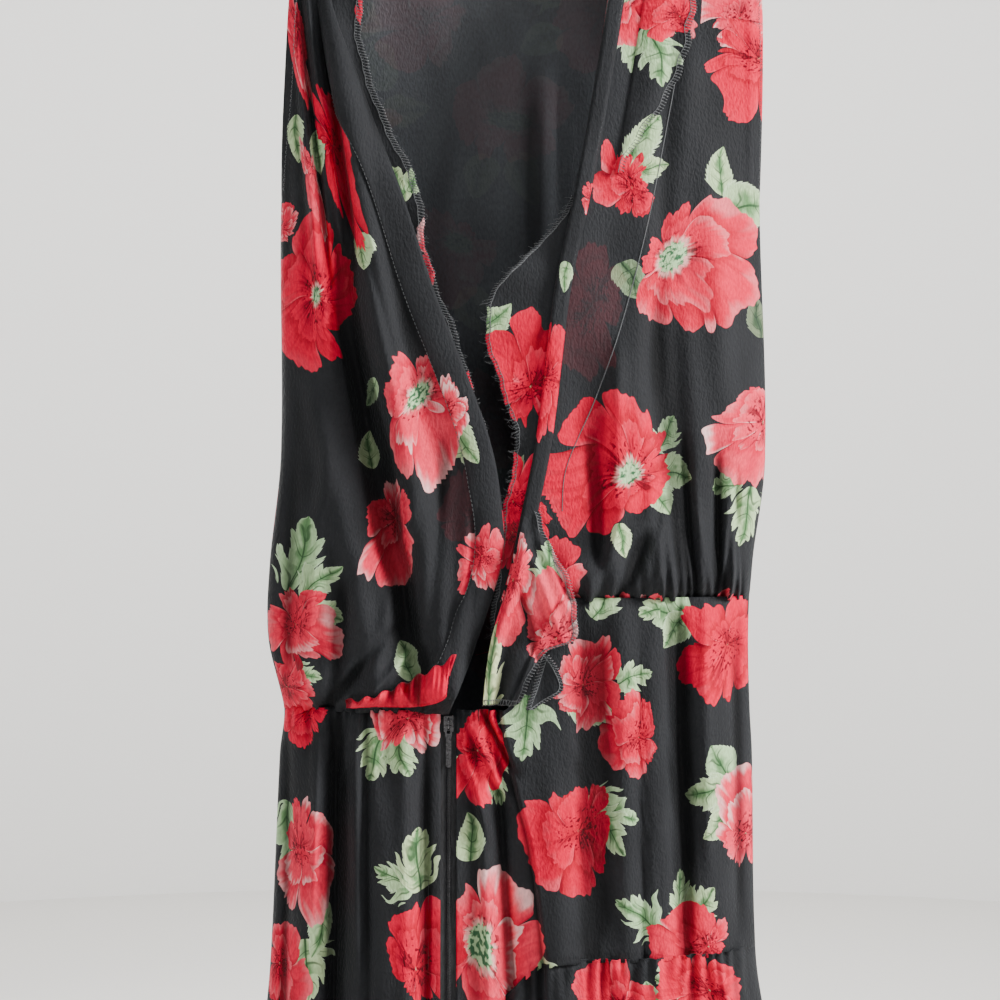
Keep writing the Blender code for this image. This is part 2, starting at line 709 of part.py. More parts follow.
def build_hanger(collection):
    wood = material("pale_wood", (0.55, 0.38, 0.22), 0.45)
    steel = material("bright_steel", (0.62, 0.62, 0.63), 0.25, 1.0)
    arms = [(x, 0.0, hanger_z(x)) for x in spread(-HANGER_HALF, HANGER_HALF, 25)]
    wire("hanger_arms", arms, HANGER_ARM, wood, collection, resolution=3)

    socket_foot = hanger_z(0.0) + HANGER_ARM + 0.0006
    mesh = bpy.data.meshes.new("hanger_socket")
    socket = bmesh.new()
    bmesh.ops.create_cone(socket, cap_ends=True, segments=20, radius1=0.0052, radius2=0.0034,
                          depth=SOCKET_HEIGHT)
    socket.to_mesh(mesh)
    socket.free()
    piece = place("hanger_socket", mesh, steel, collection)
    piece.location = (0.0, 0.0, socket_foot + SOCKET_HEIGHT / 2)

    middle_z = HOOK_WIRE - HOOK_RADIUS
    shank = [Vector((0.0, 0.0, z)) for z in spread(socket_foot + SOCKET_HEIGHT + 0.0003, -0.050, 3)]
    joined = math.radians(-48.0)
    start, end = shank[-1], Vector((HOOK_RADIUS * math.cos(joined), 0.0,
                                    middle_z + HOOK_RADIUS * math.sin(joined)))
    pull_up = start + Vector((0.0, 0.0, 0.009))
    pull_back = end - Vector((-math.sin(joined), 0.0, math.cos(joined))) * 0.009
    sweep = [start * (1 - t)**3 + pull_up * 3 * t * (1 - t)**2 + pull_back * 3 * t**2 * (1 - t)
             + end * t**3 for t in spread(0.0, 1.0, 8)]
    ring = []
    for turn in spread(-48.0, 205.0, 26):
        angle = math.radians(turn)
        ring.append(Vector((HOOK_RADIUS * math.cos(angle), 0.0,
                            middle_z + HOOK_RADIUS * math.sin(angle))))
    wire("hanger_hook", shank + sweep[1:] + ring[1:], HOOK_WIRE, steel, collection)


def build():
    for item in list(bpy.data.objects):
        bpy.data.objects.remove(item, do_unlink=True)
    dress = bpy.data.collections.new("maxi_dress")
    bpy.context.scene.collection.children.link(dress)
    build_bodice(dress)
    build_turnback(dress)
    build_waist_flap(dress)
    build_waist_ruffle(dress)
    build_skirt(dress)
    build_tier(dress)
    build_zip(dress)
    build_hanger(dress)


build()
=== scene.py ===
# %% [markdown]
# # A floral chiffon maxi dress on a hanger
# The lesson finishes a dress whose measured solids already exist. Those solids are the frame: they say
# where each cut piece hangs. Here every piece gets its own thin, creased cloth, its print, its seams
# and its stitching. The frame loads first, and its box is kept.

# %% load the frame
import json
import math
from collections import namedtuple

import bmesh
import bpy
import numpy as np
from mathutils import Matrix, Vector

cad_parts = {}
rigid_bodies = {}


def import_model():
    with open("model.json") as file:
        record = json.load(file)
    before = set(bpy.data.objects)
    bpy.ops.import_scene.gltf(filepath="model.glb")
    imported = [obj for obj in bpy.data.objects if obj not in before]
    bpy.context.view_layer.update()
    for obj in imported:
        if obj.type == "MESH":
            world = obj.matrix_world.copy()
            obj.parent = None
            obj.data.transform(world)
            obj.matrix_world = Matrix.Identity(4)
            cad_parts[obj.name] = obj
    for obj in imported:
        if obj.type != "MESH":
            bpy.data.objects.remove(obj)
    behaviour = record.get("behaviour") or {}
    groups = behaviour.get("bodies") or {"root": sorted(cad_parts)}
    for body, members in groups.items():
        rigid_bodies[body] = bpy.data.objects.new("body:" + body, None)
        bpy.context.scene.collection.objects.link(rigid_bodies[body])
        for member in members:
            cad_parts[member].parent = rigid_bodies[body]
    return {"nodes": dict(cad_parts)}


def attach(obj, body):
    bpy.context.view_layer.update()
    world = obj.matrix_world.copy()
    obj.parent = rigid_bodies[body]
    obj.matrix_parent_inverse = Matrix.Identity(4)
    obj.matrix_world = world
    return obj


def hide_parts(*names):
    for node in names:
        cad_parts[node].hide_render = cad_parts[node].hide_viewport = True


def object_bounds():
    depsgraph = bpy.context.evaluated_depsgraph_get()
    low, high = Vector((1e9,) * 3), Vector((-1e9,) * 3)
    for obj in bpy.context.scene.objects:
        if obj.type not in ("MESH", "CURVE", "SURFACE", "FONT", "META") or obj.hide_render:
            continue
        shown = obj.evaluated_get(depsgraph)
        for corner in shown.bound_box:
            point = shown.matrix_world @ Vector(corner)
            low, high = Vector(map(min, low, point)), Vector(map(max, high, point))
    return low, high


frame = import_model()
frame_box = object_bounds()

print("frame box", [[round(v, 3) for v in corner] for corner in frame_box])

# %% [markdown]
# ## The camera
# The dress is seen straight on, from the waist's height and a little above, so that the deep V, the
# waist and the top of the skirt fill the frame. A longish lens keeps the hanging lines parallel.

# %% camera
VIEW_MIDDLE = (-0.0093, -0.448)
VIEW_WIDTH = 0.620
VIEW_DISTANCE = 1.25
BODICE_FRONT_Y = -0.045

camera_data = bpy.data.cameras.new("camera")
camera_data.sensor_width = 36.0
camera_data.lens = 36.0 * VIEW_DISTANCE / VIEW_WIDTH
camera = bpy.data.objects.new("camera", camera_data)
camera.location = (VIEW_MIDDLE[0], BODICE_FRONT_Y - VIEW_DISTANCE, VIEW_MIDDLE[1])
camera.rotation_euler = (math.pi / 2, 0.0, 0.0)
bpy.context.scene.collection.objects.link(camera)
bpy.context.scene.camera = camera
print("lens", round(camera_data.lens, 1), "mm")

# %% [markdown]
# ## The hanging form
# The same short tables that shaped the solids shape the cloth: side edges and depth at each level, the
# two edges of the V, and the main folds. Their rows are written in millimetres and turned into metres,
# and a curve runs smoothly through each table's rows.

# %% tables of the hanging form
def in_metres(kind, rows):
    """Rows written in millimetres, as rows of one kind in metres."""
    return [kind(*(value / 1000 for value in row)) for row in rows]


SHOULDER_PEAK_Z, SHOULDER_SLOPE, SHOULDER_ROUND = -0.068, 0.24, 0.055
SHOULDER_END_X, UNDERARM_Z, ARMHOLE_GAPE, FAR_NECK_Z = 0.150, -0.255, 0.021, -0.118
WAIST_LEFT_Z, WAIST_RIGHT_Z = -0.580, -0.510
TIER_LEFT_Z, TIER_RIGHT_Z = -0.800, -0.732
HEM_LEFT_Z, HEM_RIGHT_Z = -1.575, -1.515
ZIP_LEFT_X, ZIP_RIGHT_X = -0.0462, -0.0364
SEAM_TUCK = 0.0012
V_HEM = 0.019

Level = namedtuple("Level", "z left right near far")
OUTLINE = in_metres(Level, [
    (-90, -142, 157, 30, 26),
    (-138, -143.8, 156.9, 34, 30),
    (-262, -150, 157.5, 42, 36),
    (-417, -150, 161, 45, 38),
    (-492, -157.5, 152, 44, 36),
    (-535, -158, 150, 43, 34),
    (-580, -148, 151, 42, 34),
    (-610, -150.7, 152.5, 44, 38),
    (-740, -156.5, 155, 54, 48),
    (-800, -162, 164, 58, 52),
    (-1150, -195, 200, 74, 66),
    (-1600, -230, 235, 88, 80),
])
Edge = namedtuple("Edge", "z left right")
V_EDGES = in_metres(Edge, [
    (-90, -118, 66),
    (-138, -113.5, 58.9),
    (-200, -92.5, 49),
    (-262, -70, 37.5),
    (-324, -50, 24.5),
    (-417, -15.5, 12.4),
    (-470, -6.8, 1.2),
    (-492, -8.5, -3.5),
    (-535, -23, -16.5),
    (-582, -42, -22.5),
])
LAP_X = ((-0.500, -0.0100), (-0.581, -0.0093), (-0.628, 0.0000), (-0.665, 0.0093),
         (-0.758, 0.0205), (-0.820, 0.0240))
LAP_STEP = 0.009

Fold = namedtuple("Fold", "top_x top_z foot_x foot_z width height")
BODICE_FOLDS = in_metres(Fold, [
    (-138, -110, -113, -400, 6.5, 6),
    (-131, -110, -88, -440, 6, -6),
    (-123, -100, -60, -470, 8, 8),
    (-100, -330, -62, -560, 13, -9),
    (-86, -470, -28, -600, 14, 7),
    (110, -100, 62, -520, 16, 5),
    (85, -300, 105, -530, 10, -5),
    (132, -380, 126, -530, 9, -4.5),
])
SKIRT_FOLDS = in_metres(Fold, [
    (-130, -590, -136, -840, 11, 6),
    (-110, -560, -113, -840, 7, -11),
    (-80, -600, -77, -900, 19, 11),
    (52, -490, 50, -760, 10, -5),
    (78, -490, 84, -760, 10, 6),
    (100, -490, 108, -760, 8, -5.5),
    (128, -500, 132, -760, 11, 4.5),
])
FAR_FOLDS = in_metres(Fold, [
    (-90, -560, -100, -900, 15, -8),
    (-40, -500, -46, -900, 14, 8),
    (10, -480, 12, -900, 16, -8),
    (60, -470, 66, -900, 14, 7),
    (110, -460, 118, -900, 14, -7),
])
Gather = namedtuple("Gather", "across width height")
NEAR_GATHERS = [
    Gather(0.08, 0.030, 0.012), Gather(0.16, 0.024, -0.014), Gather(0.25, 0.034, 0.016),
    Gather(0.34, 0.022, -0.015), Gather(0.43, 0.036, 0.013), Gather(0.52, 0.024, -0.016),
    Gather(0.61, 0.030, 0.017), Gather(0.69, 0.022, -0.013), Gather(0.78, 0.034, 0.014),
    Gather(0.86, 0.022, -0.013), Gather(0.93, 0.026, 0.010),
]
FAR_GATHERS = [
    Gather(0.10, 0.032, -0.012), Gather(0.20, 0.030, 0.015), Gather(0.31, 0.034, -0.014),
    Gather(0.43, 0.030, 0.016), Gather(0.55, 0.036, -0.015), Gather(0.67, 0.030, 0.014),
    Gather(0.79, 0.034, -0.014), Gather(0.90, 0.028, 0.011),
]
print(len(BODICE_FOLDS) + len(SKIRT_FOLDS) + len(FAR_FOLDS), "large folds")


# %% curves through the tables
def smooth(edge0, edge1, value):
    """0 before edge0, 1 after edge1, with an easy start and finish."""
    t = min(max((value - edge0) / (edge1 - edge0), 0.0), 1.0)
    return t * t * (3 - 2 * t)


def along(rows, z, column):
    """A table's column at height z, on a smooth curve through its rows, which run down."""
    if z >= rows[0][0]:
        return rows[0][column]
    if z <= rows[-1][0]:
        return rows[-1][column]
    i = 0
    while rows[i + 1][0] > z:
        i += 1
    z0, z1 = rows[i][0], rows[i + 1][0]
    a, b = rows[i][column], rows[i + 1][column]
    before = rows[i - 1] if i else rows[i]
    after = rows[i + 2] if i + 2 < len(rows) else rows[i + 1]
    span = z1 - z0
    slope_a = (b - before[column]) / (z1 - before[0]) * span
    slope_b = (after[column] - a) / (after[0] - z0) * span
    t = (z - z0) / span
    return ((2 * t**3 - 3 * t**2 + 1) * a + (t**3 - 2 * t**2 + t) * slope_a
            + (3 * t**2 - 2 * t**3) * b + (t**3 - t**2) * slope_b)


def shoulder_z(x):
    return SHOULDER_PEAK_Z - SHOULDER_SLOPE * abs(x)


def waist_near_z(x):
    return WAIST_LEFT_Z + (WAIST_RIGHT_Z - WAIST_LEFT_Z) * smooth(-0.008, 0.036, x)


def waist_far_z(x):
    left, right = along(OUTLINE, WAIST_LEFT_Z, 1), along(OUTLINE, WAIST_LEFT_Z, 2)
    t = (x - left) / (right - left)
    return WAIST_LEFT_Z + (WAIST_RIGHT_Z - WAIST_LEFT_Z) * min(max(t, 0.0), 1.0)


def tier_near_z(x):
    return TIER_LEFT_Z + (TIER_RIGHT_Z - TIER_LEFT_Z) * smooth(-0.060, 0.030, x)


def tier_far_z(x):
    return TIER_LEFT_Z + (TIER_RIGHT_Z - TIER_LEFT_Z) * smooth(-0.170, 0.170, x)


def hem_z(x):
    return HEM_LEFT_Z + (HEM_RIGHT_Z - HEM_LEFT_Z) * smooth(-0.230, 0.230, x)


def across_at(share, z):
    """X at a share of the width, from -1 at the left edge to 1 at the right."""
    left, right = along(OUTLINE, z, 1), along(OUTLINE, z, 2)
    return (left + right) / 2 + share * (right - left) / 2


def side_share(x, z):
    left, right = along(OUTLINE, z, 1), along(OUTLINE, z, 2)
    return (x - (left + right) / 2) / ((right - left) / 2)


def arch(share):
    """Cross-section of the hanging dress: flat in the middle and round at the sides."""
    return max(1.0 - min(abs(share), 1.0) ** 2.4, 0.0) ** 0.55


def gape(z):
    """How far an armhole edge stands off the side plane."""
    down = (shoulder_z(SHOULDER_END_X) - z) / (shoulder_z(SHOULDER_END_X) - UNDERARM_Z)
    if down >= 1.0:
        return 0.0
    return ARMHOLE_GAPE * math.sin(math.pi * (0.25 + 0.75 * max(down, 0.0))) ** 0.8


def shoulder_rise(x, z):
    drop = min(max((shoulder_z(x) - z) / SHOULDER_ROUND, 0.0), 1.0)
    return math.sqrt(max(1.0 - (1.0 - drop) ** 2, 0.0))


def spread(start, end, count):
    return [start + (end - start) * k / (count - 1) for k in range(count)]


def angled(start, end, count):
    low, high = math.asin(start), math.asin(end)
    return [math.sin(angle) for angle in spread(low, high, count)]


print("waist steps", round((WAIST_RIGHT_Z - WAIST_LEFT_Z) * 1000), "mm from left to right")

# %% [markdown]
# ## Creases and gathers
# The solids carry only the largest folds. Chiffon adds many smaller ones: long creases that fall from
# the bunched shoulder, fine gathers that fan out of the elastic waist, and gathers at the tier seam.
# A crease is a soft ridge or trough along a line; a gather starts at its seam and dies away.

# %% small creases and gathers
CREASES = in_metres(Fold, [
    (-143, -100, -121, -340, 2.8, 3.6), (-139.5, -100, -113, -340, 2.1, -5.6),
    (-135, -100, -105, -315, 2.8, 4.6), (-126.5, -95, -98, -310, 2.6, -8),
    (-100, -260, -70, -380, 3, -2.2), (-146, -120, -144, -330, 3, -2.2),
    (-118, -290, -52, -590, 8.5, -9), (-98, -290, -30, -600, 12, 6),
    (-135, -340, -80, -590, 9, 5), (-82, -380, -64, -560, 5, -3.6),
    (-140, -380, -148, -590, 7, -3), (-116, -400, -136, -590, 6, 3.4),
    (-102, -470, -118, -600, 5, -3), (-60, -430, -96, -600, 5.5, 3.4),
    (-44, -400, -56, -590, 4, -3), (-27, -430, -38, -590, 4, 2.6),
    (148, -100, 151, -300, 3, 1.6), (103, -95, 84, -420, 8, -3.6),
    (118, -200, 140, -480, 10, 3.2), (98, -300, 112, -520, 6, -3),
    (64, -330, 62, -525, 5.5, 3.6), (46, -400, 56, -525, 4, -3.6),
    (83, -420, 90, -525, 5, 3), (106, -400, 113, -535, 3.4, -4.6),
    (127, -410, 131, -535, 3, -5), (140, -420, 143, -535, 2.6, -4),
    (98, -440, 48, -540, 5, -3.4), (78, -430, 38, -530, 4.6, 3.6),
    (-70, -520, -136, -600, 4.4, -4), (-56, -530, -118, -604, 4, 3.6),
])
SKIRT_CREASES = in_metres(Fold, [
    (-145, -560, -148, -860, 4, -4), (-122, -560, -126, -720, 3.2, 3.4),
    (-113, -560, -115, -860, 3, -4), (-100, -560, -97, -760, 3.4, 3.6),
    (-94, -560, -90, -860, 3.6, -3.4), (-68, -560, -64, -900, 6, 3.4),
    (-56, -560, -56, -860, 3, -3.4), (-22, -560, -12, -860, 5, 5),
    (-12, -580, 4, -860, 3.4, -4), (-33, -575, -2, -640, 3.2, 5),
    (-26, -570, 4, -625, 2.2, -4.4), (-35, -590, -14, -665, 3, 3.4),
    (-20, -560, -6, -610, 2, 3.4), (20, -590, 34, -790, 8, 2.8),
    (40, -500, 44, -700, 3.4, -3), (64, -495, 70, -760, 4.2, 3),
    (77, -495, 82, -780, 3, -4.4), (90, -495, 95, -760, 3.6, 3),
    (102, -495, 108, -780, 3, -4.6), (118, -495, 121, -700, 4.2, 2.6),
    (141, -495, 144, -740, 4, -2.6),
])
FAR_CREASES = in_metres(Fold, [
    (-100, -130, -120, -560, 12, 3), (-45, -160, -60, -560, 14, -3.4),
    (14, -120, 10, -540, 10, -4.6), (30, -120, 26, -400, 6, 3.6),
    (90, -140, 110, -520, 14, 3.4),
])
Pleat = namedtuple("Pleat", "x lean length width height")


def gathers_at(start, end, count, seed, length, height):
    """A run of uneven gathers between two places along a seam."""
    rng = np.random.default_rng(seed)
    made = []
    for x in spread(start, end, count):
        step = (end - start) / count
        made.append(Pleat(x + rng.uniform(-0.3, 0.3) * step, rng.uniform(-0.16, 0.16),
                          length * rng.uniform(0.35, 1.15), step * rng.uniform(0.24, 0.42),
                          height * rng.uniform(0.4, 1.2)))
    return made


BODICE_GATHERS = (gathers_at(0.086, 0.148, 11, 5, 0.120, 0.0082)
                  + gathers_at(0.046, 0.084, 6, 6, 0.040, 0.0050)
                  + gathers_at(-0.146, -0.045, 15, 8, 0.026, 0.0040))
SKIRT_GATHERS = (gathers_at(0.040, 0.146, 17, 11, 0.060, 0.0030)
                 + gathers_at(-0.145, -0.048, 17, 12, 0.080, 0.0048)
                 + gathers_at(-0.034, -0.010, 6, 13, 0.060, 0.0042))
TIER_ABOVE = gathers_at(-0.155, 0.158, 40, 21, 0.026, 0.0024)
TIER_BELOW = gathers_at(-0.155, 0.158, 44, 22, 0.130, 0.0056)
FAR_WAIST = gathers_at(-0.145, 0.148, 34, 31, 0.080, 0.0048)


def fold_height(folds, x, z):
    """Sum of the folds at a point; each fades at its two ends."""
    total = 0.0
    for fold in folds:
        t = (z - fold.top_z) / (fold.foot_z - fold.top_z)
        if 0.0 < t < 1.0:
            off = (x - fold.top_x - (fold.foot_x - fold.top_x) * t) / fold.width
            if abs(off) < 3.0:
                fade = smooth(0.0, 0.25, t) * smooth(1.0, 0.75, t)
                total += fold.height * fade * math.exp(-off * off)
    return total


def pleat_height(pleats, x, away):
    """Sum of the gathers at a distance away from their seam."""
    total = 0.0
    for pleat in pleats:
        t = away / pleat.length
        if 0.0 <= t < 1.0:
            off = (x - pleat.x - pleat.lean * away) / (pleat.width * (1.0 + 0.8 * t))
            if abs(off) < 3.0:
                total += pleat.height * (1.0 - t) ** 1.4 * math.exp(-off * off)
    return total


print(len(CREASES) + len(SKIRT_CREASES) + len(FAR_CREASES), "creases,",
      len(BODICE_GATHERS) + len(SKIRT_GATHERS) + len(TIER_ABOVE) + len(TIER_BELOW), "gathers")


# %% the near and far surfaces
def seam_dip(away):
    """How far a seam pulls the cloth in, at a distance away from its line of stitching."""
    return 0.0020 * math.exp(-(away / 0.0028) ** 2)


def blouse(above):
    """The bodice's fullness just over its waist seam, at a height above it."""
    return 0.0095 * math.exp(-((above - 0.014) / 0.013) ** 2)


def soft_waves(x, z):
    """The slight unevenness of thin cloth between its folds."""
    return (0.0007 * math.sin(61 * x + 23 * z + 1.3) * math.sin(17 * x - 41 * z)
            + 0.0004 * math.sin(143 * x + 37 * z) + 0.0003 * math.sin(89 * x - 121 * z + 2.0))


def skirt_lap(x, z):
    edge = along(LAP_X, z, 1)
    return LAP_STEP * smooth(edge - 0.0015, edge + 0.0025, x) - LAP_STEP * 0.6


def near_y(x, z, fine=True):
    """The side with the V, above the tier seam."""
    share = side_share(x, z)
    stand = gape(z) + (along(OUTLINE, z, 3) - gape(z)) * arch(share)
    calm = 1.0 - smooth(0.80, 1.0, abs(share))
    edge_calm = 1.0 - 0.7 * smooth(0.90, 1.0, abs(share))
    above = z - waist_near_z(x)
    if above > 0:
        stand += fold_height(BODICE_FOLDS, x, z) * calm
        if fine:
            stand += (1.25 * fold_height(CREASES, x, z) + pleat_height(BODICE_GATHERS, x, above)
                      + blouse(above) - 2.8 * seam_dip(above) + soft_waves(x, z)) * edge_calm
    else:
        stand += fold_height(SKIRT_FOLDS, x, z) * calm
        stand += skirt_lap(x, z) * calm * smooth(ZIP_RIGHT_X - 0.03, ZIP_RIGHT_X + 0.02, x)
        if fine:
            stand += (1.4 * fold_height(SKIRT_CREASES, x, z) + pleat_height(SKIRT_GATHERS, x, -above)
                      + pleat_height(TIER_ABOVE, x, max(z - tier_near_z(x), 0.0))) * edge_calm
            stand += (soft_waves(x, z) - seam_dip(above) - seam_dip(z - tier_near_z(x))) * edge_calm
    return -stand * shoulder_rise(x, z)


def far_y(x, z, fine=True):
    """The side away from the V, above the tier seam."""
    share = side_share(x, z)
    stand = gape(z) + (along(OUTLINE, z, 4) - gape(z)) * arch(share)
    calm = 1.0 - smooth(0.75, 1.0, abs(share))
    above = z - waist_far_z(x)
    if above < 0:
        stand += fold_height(FAR_FOLDS, x, z) * calm
    if fine:
        loose = blouse(above) if above > 0 else 0.0
        stand += (fold_height(FAR_CREASES, x, z) + pleat_height(FAR_WAIST, x, abs(above))
                  + soft_waves(x + 1.0, z) + loose - seam_dip(above)
                  - seam_dip(z - tier_far_z(x))) * calm
    return stand * shoulder_rise(x, z)


HAIR = 0.00001


def held_at(surface_y, seam_z, side):
    """Points of a surface that keeps its own form where it tucks in behind a seam.

    side is 1 for cloth above the seam and -1 for cloth below it.
    """
    pick = max if side > 0 else min
    return lambda x, z: Vector((x, surface_y(x, pick(z, seam_z(x) + side * HAIR)), z))


near_bodice, near_skirt = held_at(near_y, waist_near_z, 1), held_at(near_y, waist_near_z, -1)
far_bodice, far_skirt = held_at(far_y, waist_far_z, 1), held_at(far_y, waist_far_z, -1)


print("near waist stands", round(-near_y(0.09, -0.50) * 1000, 1), "mm off the side plane")

# %% [markdown]
# ## Drawing finishes with nodes
# Every finish is a small sum of patterns. Two short classes let the sums be written as ordinary
# arithmetic: each operation or call adds one node and returns its output. Plain numbers go straight into
# a node's own socket. Three more helpers set plain sockets, start a finish and give it fine relief.

# %% a helper for node sums
class Value:
    """A node's output that ordinary sums are written with: each operation adds one node."""

    def __init__(self, sums, socket):
        self.sums, self.socket = sums, socket

    def __add__(self, other):
        return self.sums.math("ADD", self, other)

    def __sub__(self, other):
        return self.sums.math("SUBTRACT", self, other)

    def __rsub__(self, other):
        return self.sums.math("SUBTRACT", other, self)

    def __mul__(self, other):
        return self.sums.math("MULTIPLY", self, other)

    def __truediv__(self, other):
        return self.sums.math("DIVIDE", self, other)

    __radd__, __rmul__ = __add__, __mul__


class Sums:
    """Adds nodes to a tree and wires them, one call for each step that is not plain arithmetic."""

    def __init__(self, tree):
        self.tree = tree

    def put(self, kind, **settings):
        node = self.tree.nodes.new(kind)
        for key, value in settings.items():
            setattr(node, key, value)
        return node

    def feed(self, socket, value):
        if isinstance(value, Value):
            value = value.socket
        if hasattr(value, "is_output"):
            self.tree.links.new(value, socket)
        elif hasattr(value, "__len__") and len(value) == 3 and socket.type == "RGBA":
            socket.default_value = (*value, 1.0)
        else:
            socket.default_value = value

    def math(self, operation, a, b=0.0, c=0.0, clamp=False):
        node = self.put("ShaderNodeMath", operation=operation, use_clamp=clamp)
        for socket, value in zip(node.inputs, (a, b, c)):
            self.feed(socket, value)
        return Value(self, node.outputs[0])

    def length(self, a, b):
        """The length of an arrow with sides a and b."""
        return self.math("SQRT", a * a + b * b)

    def step(self, value, start, end, low=0.0, high=1.0):
        """A smooth step of value, from low at start to high at end."""
        node = self.put("ShaderNodeMapRange", interpolation_type="SMOOTHSTEP")
        for name, number in (("From Min", start), ("From Max", end), ("To Min", low), ("To Max", high)):
            self.feed(node.inputs[name], number)
        self.feed(node.inputs["Value"], value)
        return Value(self, node.outputs["Result"])

    def blend(self, share, a, b):
        node = self.put("ShaderNodeMix", data_type="RGBA")
        self.feed(node.inputs["Factor"], share)
        self.feed(node.inputs[6], a)
        self.feed(node.inputs[7], b)
        return Value(self, node.outputs[2])

    def noise(self, place, scale, detail=2.0, rough=0.5, output=0):
        node = self.put("ShaderNodeTexNoise", noise_dimensions="3D")
        self.feed(node.inputs["Vector"], place)
        self.feed(node.inputs["Scale"], scale)
        self.feed(node.inputs["Detail"], detail)
        self.feed(node.inputs["Roughness"], rough)
        return Value(self, node.outputs[output])

    def split(self, vector):
        node = self.put("ShaderNodeSeparateXYZ")
        self.feed(node.inputs[0], vector)
        return [Value(self, part) for part in node.outputs]

    def join(self, x, y, z=0.0):
        node = self.put("ShaderNodeCombineXYZ")
        for socket, value in zip(node.inputs, (x, y, z)):
            self.feed(socket, value)
        return Value(self, node.outputs[0])

    def stored(self, name, output="Vector"):
        """What a piece's mesh keeps under a name."""
        node = self.put("ShaderNodeAttribute", attribute_type="GEOMETRY", attribute_name=name)
        return Value(self, node.outputs[output])


def plainly(shader, settings):
    """Sets the sockets of a shader that are the same all over the surface."""
    for socket, value in settings.items():
        shader.inputs[socket].default_value = value


def new_finish(name, settings):
    """A new material, its node sums and its shader."""
    finish = bpy.data.materials.new(name)
    finish.use_nodes = True
    shader = finish.node_tree.nodes["Principled BSDF"]
    plainly(shader, settings)
    return finish, Sums(finish.node_tree), shader


def relief(n, shader, height, strength, distance):
    """Fine relief that is too small for the mesh."""
    bump = n.put("ShaderNodeBump")
    bump.inputs["Strength"].default_value = strength
    bump.inputs["Distance"].default_value = distance
    n.feed(bump.inputs["Height"], height)
    n.feed(shader.inputs["Normal"], bump.outputs[0])


def linear(red, green, blue):
    """A screen colour from 0 to 255 as the linear numbers that a shader takes."""
    return tuple(((v / 255 + 0.055) / 1.055) ** 2.4 if v > 10 else v / 255 / 12.92
                 for v in (red, green, blue))


print("black ground", [round(v, 4) for v in linear(38, 40, 42)])

# %% [markdown]
# ## A painted poppy
# The print's blossoms are loose poppies. Each is drawn in its own small square, from -1 to 1, so one
# recipe serves every blossom: a ragged outline of five petals with notches between them, a second ring
# of petals on top with a light rim and a crimson shadow under it, and radial streaks. A blossom that
# shows its heart has a pale halo and a green seed capsule too. The third number of the square is a seed,
# so that no two blossoms are the same.

# %% the poppy recipe
def new_group(name, looks):
    """A recipe that takes a place in its square and some looks, and gives a colour and a shape."""
    group = bpy.data.node_groups.new(name, "ShaderNodeTree")
    group.interface.new_socket("Square", in_out="INPUT", socket_type="NodeSocketVector")
    for look in looks:
        group.interface.new_socket(look, in_out="INPUT", socket_type="NodeSocketFloat")
    group.interface.new_socket("Colour", in_out="OUTPUT", socket_type="NodeSocketColor")
    group.interface.new_socket("Shape", in_out="OUTPUT", socket_type="NodeSocketFloat")
    return group, group.nodes.new("NodeGroupInput").outputs, group.nodes.new("NodeGroupOutput").inputs


